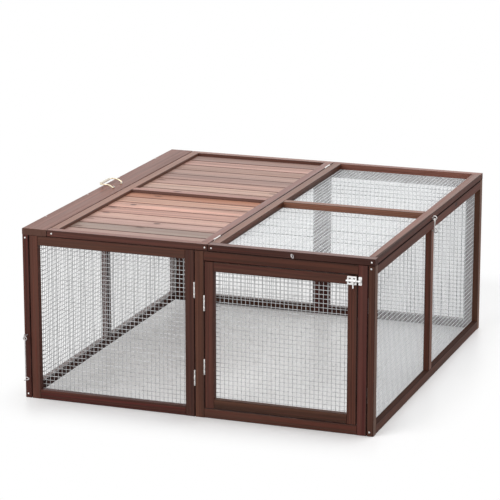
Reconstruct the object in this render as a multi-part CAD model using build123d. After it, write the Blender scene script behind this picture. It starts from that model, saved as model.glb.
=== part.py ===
from build123d import *

import os
from math import copysign, cos, radians, sin

# Folding wooden chicken coop: six lath frames hinged into an open-bottomed pen, a roof in three
# strips (fixed shelf board, slatted lid, meshed lid), a bolted front door and a carrying handle.
# X runs along the front to the right, Y from front to back, Z up. The origin is on the ground
# under the middle of the whole outline, hooks and eyes included. Millimetres throughout.

# Overall size
WIDTH = 1000.0  # across the front, over both side walls
DEPTH = 1092.0  # front to back
HEIGHT = 480.0  # ground to roof top

# Timber
LATH_T = 18.0  # thickness of every frame
LATH_W = 26.0  # face width of stiles and rails
EASE = 1.5  # eased long edges
SHELF_W = 72.0  # fixed board of the roof, as wide as the folded walls are thick
SLAT_T = 8.0
SLAT_PITCH = 65.0
SLAT_GAP = 3.0
SLAT_SEAT = 8.0  # how far each slat end lies in the lid's stiles

# Clearances
SEAM = 2.0  # between hinged edges; the closed leaves lie in it
ROOF_GAP = 1.0  # the folding walls pass under the roof
FIT = 0.05  # radial, pins and screws in their holes
PLAY = 0.4  # loose loops, wires and reliefs
OVERCUT = 1.0  # how far a cutter runs past the face that it cuts

# Facets of small round pieces
WIRE_SIDES = 8
RING_SIDES = 12
BEND_STEP = 22.5  # degrees of a bend to each straight step

# Welded mesh, drawn at one wire in seven
MESH_PITCH = 12.0
MESH_DRAWN = 7
MESH_WIRE = 1.2
REBATE_W = 4.5  # shelf for the mesh round each opening, on the inner face
REBATE_T = 1.6

# Butt hinges
HINGE_L = 43.0
LEAF_W = 13.0
LEAF_T = 0.9
KNUCKLE_R = 2.0
PIN_R = 1.0
KNUCKLE_END = 0.3  # share of the length in each end knuckle
FOLD_HINGE_IN = 108.5  # from the walls' lower and upper edges
DOOR_HINGE_IN = 114.0  # from the door's lower and upper edges
LID_HINGE_IN = 76.0  # from the roof's front and back edges
SHELF_HINGE_IN = 196.0

# Door and bolt
DOOR_GAP = 2.0
BOLT_R = 2.4
BOLT_L = 40.0
BOLT_STANDOFF = 4.2  # bolt axis in front of the door's face
BOLT_DOWN = 14.3  # bolt axis below the top of the door
BOLT_REACH = 8.0  # how far the bolt stands past the frame's edge
PLATE_T = 1.2
PLATE_W = 25.7
PLATE_H = 23.0
PLATE_IN = 1.8  # from the door's closing edge
STRAP_T = 1.0
STRAP_W = 4.5
STRAP_IN = 1.5
KEEPER_W = 9.0
KNOB_R = 2.2
KNOB_DROP = 20.5
KNOB_BACK = 20.6  # from the bolt's tip
WINDOW_W = 5.6  # slots pressed out of the plate beside the bolt
WINDOW_H = 2.2
WINDOW_IN = 4.0  # from the plate's ends
WINDOW_OFF = 3.9  # nearer edge from the bolt's axis

# Screw eyes and hooks
EYE_R = 5.5  # to the middle of the wire
EYE_WIRE = 1.3
EYE_OUT = 9.0  # ring centre in front of the wood
HOOK_EYE_OUT = 16.0  # the storage hook's eye stands further out
LID_EYE_OUT = 7.5  # the roof hook's eye, so that its tip hangs inside the wall's ring
EYE_SHANK_R = 1.6
EYE_SHANK_IN = 12.0
LID_EYE_FROM_SEAM = 240.0
LID_EYE_TURN = 25.0  # its ring leans to the left
STORE_EYE_Z = 180.0
STORE_HOOK_R = 1.5
STORE_LOOP_R = 4.6
STORE_HOOK_L = 116.0  # eye wire to the middle of the crook
CROOK_H = 5.2  # half the crook's height
CROOK_REACH = 13.5  # the crook's corner beside the rod
CROOK_BENDS = (2.0, 2.2)
ROOF_HOOK_R = 1.6
ROOF_LOOP_R = 4.2
ROOF_HOOK_TIP = 9.0
WALL_EYE_OFF = 5.0  # the wall's ring stands beside the hook's rod
WALL_EYE_DOWN = 30.0  # below the wall's top
ROOF_HOOK_SIDE = -9.0  # lid eye from the middle of the depth
HOOK_EYE_DOWN = 11.5  # lid eye below the roof top

# Carrying handle
HANDLE_IN = 43.0  # pivot line from the shelf's outer edge
HANDLE_SIDE = 14.0  # middle of the handle behind the middle of the depth
HANDLE_R = 1.9
HANDLE_FEET = 72.0
HANDLE_REACH = 39.0
HANDLE_RISE = 9.0
HANDLE_SPLAY = 7.0
HANDLE_STUB = 10.0
STUB_TURN = 6.0  # round end of each stub, which turns under its staple
BAIL_BENDS = (3.2, 6.0, 6.0)  # foot, rise and grip
GRIP_R = 3.8  # sleeve on the straight of the bail
GRIP_L = 66.0
STAPLE_R = 1.0
STAPLE_IN = 8.0

# Places that follow from the sizes
PIN_OUT = SEAM / 2
EYE_REACH = EYE_OUT + EYE_R + EYE_WIRE
HOOK_REACH = HOOK_EYE_OUT + EYE_R + EYE_WIRE
X0 = -EYE_REACH / 2
Y0 = (HOOK_REACH - PIN_OUT - KNUCKLE_R) / 2
LEFT = X0 - WIDTH / 2
RIGHT = X0 + WIDTH / 2
FRONT = Y0 - DEPTH / 2
BACK = Y0 + DEPTH / 2
ROOF_Z = HEIGHT - LATH_T
WALL_TOP = ROOF_Z - ROOF_GAP
LID_W = (WIDTH - SHELF_W - 2 * SEAM) / 2
LID_L = LEFT + SHELF_W + SEAM
LID_SEAM = LID_L + LID_W + PIN_OUT
PANEL_L = LEFT + LATH_T + SEAM
PANEL_R = RIGHT - LATH_T - SEAM
NET_SHOWN = MESH_PITCH * MESH_DRAWN

# Each side of the coop, as the way from its outer face inwards
INWARDS = {
    "front": (FRONT, (0, 1, 0), (1, 0, 0)),
    "back": (BACK, (0, -1, 0), (1, 0, 0)),
    "left": (LEFT, (1, 0, 0), (0, 1, 0)),
    "right": (RIGHT, (-1, 0, 0), (0, 1, 0)),
    "roof": (HEIGHT, (0, 0, -1), (1, 0, 0)),
}


def block(x, y, z):
    """Plain box between two values on each axis, in either order."""
    spans = [sorted(span) for span in (x, y, z)]
    sizes = [high - low for low, high in spans]
    return Pos(*[(low + high) / 2 for low, high in spans]) * Box(*sizes)


def lath(x, y, z, ease=EASE):
    """Planed lath: a box with its four long edges eased."""
    body = block(x, y, z)
    sizes = [abs(high - low) for low, high in (x, y, z)]
    along = (Axis.X, Axis.Y, Axis.Z)[sizes.index(max(sizes))]
    return chamfer(body.edges().filter_by(along), ease)


def spans(side, u, t, v):
    """World spans of a piece on one side: u across, t in from the outer face, v the other way."""
    face, inward, _ = INWARDS[side]
    world = [u, v]
    normal = [abs(part) for part in inward].index(1)
    world.insert(normal, tuple(face + inward[normal] * value for value in t))
    return world


def reaches(a, b):
    """True if the boxes round two solids overlap."""
    p, q = a.bounding_box(), b.bounding_box()
    return all(
        low < high
        for low, high in (
            (p.min.X, q.max.X),
            (q.min.X, p.max.X),
            (p.min.Y, q.max.Y),
            (q.min.Y, p.max.Y),
            (p.min.Z, q.max.Z),
            (q.min.Z, p.max.Z),
        )
    )


def carve(solids, cutters):
    """Take from each solid every cutter that reaches it."""
    carved = []
    for solid in solids:
        for cutter in cutters:
            if reaches(solid, cutter):
                solid = solid - cutter
        carved.append(solid)
    return carved


def bar(start, end, section):
    """Straight bar of one section between two points."""
    start, end = Vector(*start), Vector(*end)
    run = end - start
    return extrude(Plane(start, z_dir=run) * section, run.length)


def rod(start, end, radius):
    """Small round bar between two points, faceted inside its radius."""
    return bar(start, end, RegularPolygon(radius, WIRE_SIDES))


def room(start, end, radius):
    """Faceted hole that leaves a whole circle of that radius free."""
    return bar(start, end, RegularPolygon(radius, WIRE_SIDES, major_radius=False))


def ring(centre, normal, radius, wire):
    """Faceted wire ring about a centre, its section an octagon."""
    flat = RegularPolygon(radius + wire, RING_SIDES) - RegularPolygon(radius - wire, RING_SIDES)
    band = extrude(Plane(centre, z_dir=normal) * flat, wire, both=True)
    rims = [edge for edge in band.edges() if abs((edge % 0.5).dot(Vector(*normal))) < 0.5]
    return chamfer(rims, wire * 0.55)


def wire_form(path, radius):
    """Wire bent along a path, each bend in short straight steps."""
    stops = [path @ 0]
    for edge in Wire(path.edges()).order_edges():
        turn = 0 if edge.geom_type == GeomType.LINE else edge.length / edge.radius
        steps = max(1, round(turn / radians(BEND_STEP)))
        forward = (edge @ 0 - stops[-1]).length < (edge @ 1 - stops[-1]).length
        shares = [step / steps for step in range(1, steps + 1)]
        stops += [edge @ (share if forward else 1 - share) for share in shares]
    route = Polyline(*stops)
    section = Plane(route @ 0, z_dir=route % 0) * RegularPolygon(radius, WIRE_SIDES)
    return sweep(section, route, transition=Transition.RIGHT)


class Panel:
    """Butt-jointed lath frame on one side of the coop, with its mesh.

    u runs across the side and v the other way along it; bars are extra members across the frame.
    """

    def __init__(self, side, u, v, through="stiles", bars=()):
        self.side = side
        inner_u = (u[0] + LATH_W, u[1] - LATH_W)
        inner_v = (v[0] + LATH_W, v[1] - LATH_W)
        stile_v = v if through == "stiles" else inner_v
        rail_u = inner_u if through == "stiles" else u
        self.stiles = [self.piece(span, stile_v) for span in ((u[0], inner_u[0]), (inner_u[1], u[1]))]
        self.rails = [self.piece(rail_u, span) for span in ((v[0], inner_v[0]), (inner_v[1], v[1]))]
        self.panes = [(inner_u, inner_v)]
        self.bars = []
        for way, middle in bars:
            band = (middle - LATH_W / 2, middle + LATH_W / 2)
            if way == "u":
                self.bars.append(self.piece(inner_u, band))
                self.panes = [(inner_u, (inner_v[0], band[0])), (inner_u, (band[1], inner_v[1]))]
            else:
                self.bars.append(self.piece(band, inner_v))
                self.panes = [((inner_u[0], band[0]), inner_v), ((band[1], inner_u[1]), inner_v)]

    def piece(self, u, v):
        """One lath of the frame, through its full thickness."""
        return lath(*spans(self.side, u, (0, LATH_T), v))

    def rebates(self):
        """Shallow seats for the mesh, let into the inner face round each opening."""
        return [
            block(*spans(self.side, grow(u, REBATE_W), (LATH_T - REBATE_T, LATH_T), grow(v, REBATE_W)))
            for u, v in self.panes
        ]

    def nets(self):
        """Welded mesh of each opening: one holed face, as thick as the wire, seated in its rebate."""
        face, inward, across = INWARDS[self.side]
        return [
            net(self.side, grow(u, REBATE_W - PLAY), grow(v, REBATE_W - PLAY), face, inward, across)
            for u, v in self.panes
        ]

    def finish(self, cutters):
        """Cut the rebates and every other relief from the frame's laths."""
        cutters = list(cutters)
        self.stiles = carve(self.stiles, self.rebates() + cutters)
        self.rails = carve(self.rails, self.rebates() + cutters)
        self.bars = carve(self.bars, self.rebates() + cutters)
        return self


def grow(span, by):
    """A span made longer by the same amount at both ends."""
    return (span[0] - by, span[1] + by)


def net(side, u, v, face, inward, across):
    """Flat wire net between two spans of one side."""
    size = (u[1] - u[0], v[1] - v[0])
    counts = [max(1, round(length / NET_SHOWN)) for length in size]
    pitch = [(length - MESH_WIRE) / count for length, count in zip(size, counts)]
    hole = Rectangle(pitch[0] - MESH_WIRE, pitch[1] - MESH_WIRE)
    sheet = Rectangle(*size) - [spot * hole for spot in GridLocations(*pitch, *counts)]
    seat = LATH_T - REBATE_T
    corner = spans(side, u, (seat, seat), v)
    middle = [(low + high) / 2 for low, high in corner]
    return extrude(Plane(middle, x_dir=across, z_dir=inward) * sheet, MESH_WIRE)


class ButtHinge:
    """Closed butt hinge lying in a seam: two leaves with interleaved knuckles on one pin.

    middle is the pin's middle, along the pin's way, into the way the leaves run from the pin, and
    first the way to the wood that carries the pin's own leaf.
    """

    def __init__(self, middle, along, into, first):
        self.middle, self.along, self.into = Vector(*middle), Vector(*along), Vector(*into)
        side = copysign(1, self.along.cross(self.into).dot(Vector(*first)))
        end = HINGE_L * (0.5 - KNUCKLE_END)
        half = HINGE_L / 2
        turn = KNUCKLE_R + PLAY / 2
        self.pinned = self.plate(side) - self.on_pin(room, -end, end, turn)
        self.pinned += self.on_pin(rod, -half, -end, KNUCKLE_R)
        self.pinned += self.on_pin(rod, end, half, KNUCKLE_R)
        self.pinned += self.on_pin(bar, -half, half, Circle(PIN_R))
        gap = PLAY / 2
        self.bored = self.plate(-side) - self.on_pin(room, -half - gap, gap - end, turn)
        self.bored -= self.on_pin(room, end - gap, half + gap, turn)
        self.bored += self.on_pin(rod, gap - end, end - gap, KNUCKLE_R)
        self.bored -= self.on_pin(room, -half, half, PIN_R + FIT)
        self.relief = self.on_pin(room, -half - PLAY, half + PLAY, KNUCKLE_R + PLAY)

    def on_pin(self, make, low, high, section):
        """Bar, rod or room along a stretch of the pin's line."""
        return make(self.middle + self.along * low, self.middle + self.along * high, section)

    def plate(self, side):
        """One leaf, flat on its own wood."""
        frame = Plane(self.middle, x_dir=self.into, z_dir=self.along)
        offset = side * (PIN_OUT - LEAF_T / 2)
        return frame * Pos(LEAF_W / 2, offset, 0) * Box(LEAF_W, LEAF_T, HINGE_L)


def pilot(head, inward, radius, length):
    """Hole for an eye's shank."""
    head, inward = Vector(*head), Vector(*inward)
    return room(head - inward * OVERCUT, head + inward * (length + FIT), radius + FIT)


def screw_eye(foot, inward, across, out):
    """Screw eye: a wire ring on a shank, the ring's plane along the shank and across."""
    foot, inward, across = Vector(*foot), Vector(*inward), Vector(*across)
    centre = foot - inward * out
    loop = ring(centre, inward.cross(across), EYE_R, EYE_WIRE)
    return loop + rod(foot - inward * (out - EYE_R), foot + inward * EYE_SHANK_IN, EYE_SHANK_R)


def save(name, *solids):
    """Write one node."""
    export_step(Compound(list(solids)), os.path.join("parts", f"{name}.step"))


os.makedirs("parts", exist_ok=True)

# Frames: each wall, the door and both lids
side_u = (FRONT, BACK)
left_wall = Panel("left", side_u, (0, ROOF_Z), bars=[("v", Y0)])
right_wall = Panel("right", side_u, (0, WALL_TOP), bars=[("v", Y0)])
front_left = Panel("front", (PANEL_L, X0 - PIN_OUT), (0, WALL_TOP))
front_right = Panel("front", (X0 + PIN_OUT, PANEL_R), (0, WALL_TOP))
back_left = Panel("back", (PANEL_L, X0 - PIN_OUT), (0, WALL_TOP))
back_right = Panel("back", (X0 + PIN_OUT, PANEL_R), (0, WALL_TOP))
door_u = grow((X0 + PIN_OUT + LATH_W, PANEL_R - LATH_W), -DOOR_GAP)
door_v = grow((LATH_W, WALL_TOP - LATH_W), -DOOR_GAP)
door = Panel("front", door_u, door_v)
right_lid = Panel("roof", (LID_SEAM + PIN_OUT, RIGHT), side_u, "rails", [("u", Y0)])
left_lid = Panel("roof", (LID_L, LID_SEAM - PIN_OUT), side_u, "rails")

# Hinges, each on the wood of the body that carries its pin
up, back, right = (0, 0, 1), (0, 1, 0), (1, 0, 0)
down, forth, left = (0, 0, -1), (0, -1, 0), (-1, 0, 0)
corner_l, corner_r = LEFT + LATH_T + PIN_OUT, RIGHT - LATH_T - PIN_OUT
inner_f, inner_b = FRONT + LATH_T + PIN_OUT, BACK - LATH_T - PIN_OUT
fold_z = (FOLD_HINGE_IN, WALL_TOP - FOLD_HINGE_IN)
door_z = (door_v[0] + DOOR_HINGE_IN, door_v[1] - DOOR_HINGE_IN)
hinges = {
    "front_left": [ButtHinge((corner_l, inner_f, z), up, forth, left) for z in fold_z],
    "front_mid": [ButtHinge((X0, FRONT - PIN_OUT, z), up, back, left) for z in fold_z],
    "front_right": [ButtHinge((corner_r, inner_f, z), up, forth, left) for z in fold_z],
    "back_left": [ButtHinge((corner_l, inner_b, z), up, back, left) for z in fold_z],
    "back_mid": [ButtHinge((X0, BACK + PIN_OUT, z), up, forth, left) for z in fold_z],
    "back_right": [ButtHinge((corner_r, inner_b, z), up, back, left) for z in fold_z],
    "door": [
        ButtHinge((door_u[0] - DOOR_GAP / 2, FRONT - PIN_OUT, z), up, back, left) for z in door_z
    ],
    "lid": [
        ButtHinge((LID_SEAM, y, HEIGHT + PIN_OUT), back, down, left)
        for y in (FRONT + LID_HINGE_IN, BACK - LID_HINGE_IN)
    ],
    "shelf": [
        ButtHinge((LID_L - PIN_OUT, y, ROOF_Z + KNUCKLE_R + PLAY / 2), back, up, left)
        for y in (FRONT + SHELF_HINGE_IN, BACK - SHELF_HINGE_IN)
    ],
}


def reliefs(*names):
    """Room for the knuckles of the named hinges."""
    return [hinge.relief for name in names for hinge in hinges[name]]


def pinned(*names):
    """Leaves that carry the pins of the named hinges."""
    return [hinge.pinned for name in names for hinge in hinges[name]]


def bored(*names):
    """Leaves that turn on the pins of the named hinges."""
    return [hinge.bored for name in names for hinge in hinges[name]]


half = LATH_T / 2

# Screw eyes: storage hook, right lid (hook on the edge, catch on the front) and right wall
store_foot = (LEFT + half, FRONT, STORE_EYE_Z)
hook_foot = (RIGHT, Y0 + ROOF_HOOK_SIDE, HEIGHT - HOOK_EYE_DOWN)
catch_foot = (LID_SEAM + LID_EYE_FROM_SEAM, FRONT, HEIGHT - half)
wall_foot = (RIGHT, Y0 + ROOF_HOOK_SIDE + WALL_EYE_OFF, WALL_TOP - WALL_EYE_DOWN)
eye_holes = {
    foot: pilot(foot, inward, EYE_SHANK_R, EYE_SHANK_IN)
    for foot, inward in ((store_foot, back), (hook_foot, left), (catch_foot, back), (wall_foot, left))
}

# Slatted bed of the left lid: slats seated in the stiles, a batten across on top
slat_u = grow((LID_L + LATH_W, LID_SEAM - PIN_OUT - LATH_W), SLAT_SEAT)
slat_count = round((DEPTH - 2 * LATH_W) / SLAT_PITCH)
slat_step = (DEPTH - 2 * LATH_W) / slat_count
slat_z = (ROOF_Z + ROOF_GAP, ROOF_Z + ROOF_GAP + SLAT_T)
slats = [
    lath(slat_u, grow((y, y + slat_step), -SLAT_GAP / 2), slat_z)
    for y in (FRONT + LATH_W + slat_step * n for n in range(slat_count))
]
slat_bed = block(grow(slat_u, PLAY), grow(side_u, -LATH_W), (ROOF_Z - OVERCUT, slat_z[1]))
batten = lath(
    (LID_L + LATH_W, LID_SEAM - PIN_OUT - LATH_W), (Y0 - LATH_W / 2, Y0 + LATH_W / 2), (slat_z[1], HEIGHT)
)

# Carrying handle: a wire bail whose stubs turn under two staples in the shelf
handle_x = LEFT + HANDLE_IN
handle_y = Y0 + HANDLE_SIDE
handle_z = HEIGHT + HANDLE_R + PLAY / 2


def handle_half(side):
    """Corner points of the bail from one stub's end to the grip."""
    foot = handle_y + side * HANDLE_FEET / 2
    return [
        (handle_x, foot - side * HANDLE_STUB, handle_z),
        (handle_x, foot, handle_z),
        (handle_x - HANDLE_REACH * 0.3, foot + side * HANDLE_SPLAY * 0.3, handle_z + HANDLE_RISE),
        (handle_x - HANDLE_REACH, foot + side * HANDLE_SPLAY, handle_z + HANDLE_RISE),
    ]


bail_points = handle_half(-1) + handle_half(1)[::-1]
bail = wire_form(FilletPolyline(*bail_points, radius=[*BAIL_BENDS, *BAIL_BENDS[::-1]]), HANDLE_R)
grip_x, grip_z = bail_points[3][0], bail_points[3][2]
grip_ends = [(grip_x, handle_y + side * GRIP_L / 2, grip_z) for side in (-1, 1)]
grip = bar(*grip_ends, RegularPolygon(GRIP_R, RING_SIDES)) - room(*grip_ends, HANDLE_R + FIT)
staple_bow = HANDLE_R + STAPLE_R + PLAY
staple_y = []
for side in (-1, 1):
    stub = handle_y + side * (HANDLE_FEET / 2 - HANDLE_STUB)
    turn = stub + side * STUB_TURN
    bail += bar((handle_x, stub, handle_z), (handle_x, turn, handle_z), Circle(HANDLE_R))
    staple_y.append((stub + turn) / 2)


def staple(y, radius):
    """Round wire staple over the handle's stub, its legs down in the shelf."""
    foot, top = HEIGHT - STAPLE_IN, handle_z
    path = Polyline((handle_x - staple_bow, y, foot), (handle_x - staple_bow, y, top))
    path += ThreePointArc(
        (handle_x - staple_bow, y, top), (handle_x, y, top + staple_bow), (handle_x + staple_bow, y, top)
    )
    path += Line((handle_x + staple_bow, y, top), (handle_x + staple_bow, y, foot))
    return wire_form(path, radius)


staple_holes = [
    room((x, y, HEIGHT - STAPLE_IN - FIT), (x, y, HEIGHT + OVERCUT), STAPLE_R + FIT)
    for y in staple_y
    for x in (handle_x - staple_bow, handle_x + staple_bow)
]

# Storage hook: a loop on the eye's lower wire, a straight rod and an open crook
store_y = FRONT - HOOK_EYE_OUT
store_x = LEFT + half
store_pin = STORE_EYE_Z - EYE_R
store_loop = store_pin + EYE_WIRE + STORE_HOOK_R + PLAY - STORE_LOOP_R
crook_z = store_pin - STORE_HOOK_L
crook = FilletPolyline(
    (store_x, store_y, store_loop - STORE_LOOP_R),
    (store_x, store_y, crook_z + CROOK_H),
    (store_x + CROOK_REACH, store_y, crook_z),
    (store_x - CROOK_H, store_y, crook_z - CROOK_H),
    radius=CROOK_BENDS,
)
storage_hook = wire_form(crook, STORE_HOOK_R)
storage_hook += ring((store_x, store_y, store_loop), back, STORE_LOOP_R, STORE_HOOK_R)

# Roof hook: hangs from the lid's eye, its tip turned through the ring on the wall
roof_x = RIGHT + LID_EYE_OUT
roof_y = hook_foot[1]
roof_pin = hook_foot[2] - EYE_R
roof_loop = roof_pin + EYE_WIRE + ROOF_HOOK_R + PLAY - ROOF_LOOP_R
tip = FilletPolyline(
    (roof_x, roof_y, roof_loop - ROOF_LOOP_R),
    (roof_x, roof_y, wall_foot[2]),
    (roof_x, roof_y + ROOF_HOOK_TIP, wall_foot[2]),
    radius=2 * ROOF_HOOK_R,
)
roof_hook = wire_form(tip, ROOF_HOOK_R)
roof_hook += ring((roof_x, roof_y, roof_loop), right, ROOF_LOOP_R, ROOF_HOOK_R)

# Barrel bolt on the door and its keeper on the frame
bolt_y = FRONT - BOLT_STANDOFF
bolt_z = door_v[1] - BOLT_DOWN
bolt_tip = door_u[1] + DOOR_GAP + BOLT_REACH
plate_u = (door_u[1] - PLATE_IN - PLATE_W, door_u[1] - PLATE_IN)
keeper_u = (door_u[1] + DOOR_GAP + STRAP_IN, door_u[1] + DOOR_GAP + STRAP_IN + KEEPER_W)


def arch(radius):
    """Round-topped outline from the bolt's axis down to the plate."""
    depth = BOLT_STANDOFF - PLATE_T
    crown = RegularPolygon(radius, RING_SIDES, major_radius=False)
    return crown + Pos(depth / 2, 0) * Rectangle(depth, 2 * radius)


def strap(u):
    """Bent strap over the bolt, open towards the wood."""
    inner = BOLT_R + 2 * FIT
    profile = Plane((u[0], bolt_y, bolt_z), x_dir=back, z_dir=right) * (arch(inner + STRAP_T) - arch(inner))
    return extrude(profile, u[1] - u[0])


def base(u):
    """Flat plate on the wood under the bolt."""
    return block(u, (FRONT - PLATE_T, FRONT), (bolt_z - PLATE_H / 2, bolt_z + PLATE_H / 2))


def window(u, v):
    """Slot through the plate, from its near edges outwards along and away from the bolt."""
    return block(
        (u, u + WINDOW_W), (FRONT - PLATE_T - OVERCUT, FRONT + OVERCUT), (bolt_z + v, bolt_z + v + WINDOW_H)
    )


bolt_plate = base(plate_u)
for u in (plate_u[0] + WINDOW_IN, plate_u[1] - WINDOW_IN - WINDOW_W):
    for v in (WINDOW_OFF, -WINDOW_OFF - WINDOW_H):
        bolt_plate -= window(u, v)
bolt_plate += strap((plate_u[0] + STRAP_IN, plate_u[0] + STRAP_IN + STRAP_W))
bolt_plate += strap((plate_u[1] - STRAP_IN - STRAP_W, plate_u[1] - STRAP_IN))
bolt_keeper = base(keeper_u) + strap((keeper_u[0] + STRAP_IN, keeper_u[1] - STRAP_IN))
knob_x = bolt_tip - KNOB_BACK
bolt_rod = rod((bolt_tip - BOLT_L, bolt_y, bolt_z), (bolt_tip, bolt_y, bolt_z), BOLT_R)
bolt_rod += rod((knob_x, bolt_y, bolt_z), (knob_x, bolt_y, bolt_z - KNOB_DROP), KNOB_R)

# Reliefs, rebates and holes in the wood
left_wall.finish(reliefs("front_left", "back_left") + [eye_holes[store_foot]])
right_wall.finish(reliefs("front_right", "back_right") + [eye_holes[wall_foot]])
front_left.finish(reliefs("front_left", "front_mid"))
front_right.finish(reliefs("front_right", "front_mid", "door"))
back_left.finish(reliefs("back_left", "back_mid"))
back_right.finish(reliefs("back_right", "back_mid"))
door.finish(reliefs("door"))
right_lid.finish(reliefs("lid") + [eye_holes[hook_foot], eye_holes[catch_foot]])
left_lid.stiles = carve(left_lid.stiles, reliefs("lid", "shelf") + [slat_bed])
shelf = carve([lath((LEFT, LEFT + SHELF_W), side_u, (ROOF_Z, HEIGHT))], reliefs("shelf") + staple_holes)

# Nodes
for name, panel in (
    ("left_wall", left_wall),
    ("right_wall", right_wall),
    ("front_left", front_left),
    ("front_right", front_right),
    ("door", door),
    ("back_left", back_left),
    ("back_right", back_right),
    ("right_lid", right_lid),
    ("left_lid", left_lid),
):
    save(f"{name}_stiles", *panel.stiles)
    save(f"{name}_rails", *panel.rails)
    if panel.bars:
        save(f"{name}_bar", *panel.bars)
    if panel not in (front_right, left_lid):
        save(f"{name}_mesh", *panel.nets())
save("left_lid_slats", *slats)
save("left_lid_batten", batten)
save("shelf_board", *shelf)
save("left_wall_leaves", *pinned("front_left", "back_left"))
save("shelf_hinges", *pinned("shelf"), *bored("shelf"))
save("left_lid_leaves", *pinned("lid"))
save("right_lid_leaves", *bored("lid"))
save("front_left_leaves", *bored("front_left"), *pinned("front_mid"))
save("front_right_leaves", *bored("front_mid"), *pinned("front_right", "door"))
save("door_leaves", *bored("door"))
save("right_wall_leaves", *bored("front_right", "back_right"))
save("back_left_leaves", *bored("back_left"), *pinned("back_mid"))
save("back_right_leaves", *bored("back_mid"), *pinned("back_right"))
save("storage_eye", screw_eye(store_foot, back, up, HOOK_EYE_OUT))
lean = (-sin(radians(LID_EYE_TURN)), 0, cos(radians(LID_EYE_TURN)))
save("right_lid_eyes", screw_eye(hook_foot, left, up, LID_EYE_OUT), screw_eye(catch_foot, back, lean, EYE_OUT))
save("right_wall_eye", screw_eye(wall_foot, left, up, EYE_OUT))
save("storage_hook", storage_hook)
save("roof_hook", roof_hook)
save("carry_handle", bail)
save("handle_grip", grip)
save("handle_staples", *[staple(y, STAPLE_R) for y in staple_y])
save("bolt_plate", bolt_plate)
save("bolt_keeper", bolt_keeper)
save("bolt_rod", bolt_rod)
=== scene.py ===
"""Looks of a folding wooden chicken coop: stained laths, welded mesh, zinc hinges, hooks and bolt.

Every length is in metres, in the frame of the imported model: X along the front to the right, Y from
front to back, Z up. Pieces are numpy surfaces whose places are in their meshes.
"""

from __future__ import annotations

import logging
import math
from dataclasses import dataclass, field, replace
from enum import Enum

import bpy
import numpy as np
from mathutils import Matrix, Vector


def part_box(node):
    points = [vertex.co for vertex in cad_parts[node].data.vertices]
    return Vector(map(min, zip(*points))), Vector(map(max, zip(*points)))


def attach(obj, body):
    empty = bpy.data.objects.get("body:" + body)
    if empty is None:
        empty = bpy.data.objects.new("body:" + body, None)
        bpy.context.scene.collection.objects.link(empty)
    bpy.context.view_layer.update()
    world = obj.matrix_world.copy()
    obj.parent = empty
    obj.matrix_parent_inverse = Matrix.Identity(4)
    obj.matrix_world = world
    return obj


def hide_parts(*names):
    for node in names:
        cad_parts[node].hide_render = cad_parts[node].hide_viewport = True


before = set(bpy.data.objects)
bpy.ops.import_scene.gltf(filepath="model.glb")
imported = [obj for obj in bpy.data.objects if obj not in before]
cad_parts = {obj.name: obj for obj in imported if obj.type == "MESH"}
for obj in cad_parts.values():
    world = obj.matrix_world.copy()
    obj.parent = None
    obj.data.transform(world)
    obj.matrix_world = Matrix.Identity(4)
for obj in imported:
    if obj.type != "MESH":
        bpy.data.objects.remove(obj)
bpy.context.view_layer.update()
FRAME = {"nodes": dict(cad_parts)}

LOG = logging.getLogger("coop")
MM = 0.001
TURN = 2 * math.pi

# Outer faces of the standing walls
LEFT, RIGHT = -507.9 * MM, 492.1 * MM
FRONT, BACK = -536.1 * MM, 555.9 * MM

Point = tuple[float, float, float]
Colour = tuple[float, float, float, float]
Socket = bpy.types.NodeSocket
Material = bpy.types.Material


class Way(Enum):
    """The three axes of the model's frame."""

    X = 0
    Y = 1
    Z = 2

    def unit(self) -> np.ndarray:
        """Unit vector along this axis."""
        return np.eye(3)[self.value]


class Slot(Enum):
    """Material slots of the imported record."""

    MESH = "galvanised_mesh"
    ZINC = "zinc_hardware"
    HANDLE = "handle_wire"


def third_way(first: Way, second: Way) -> Way:
    """The axis square to two others."""
    return (set(Way) - {first, second}).pop()


def corners_of(node: str) -> tuple[np.ndarray, np.ndarray]:
    """Lowest and highest corner of a node at rest."""
    low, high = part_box(node)
    return np.array(low), np.array(high)


# Shader expressions


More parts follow.
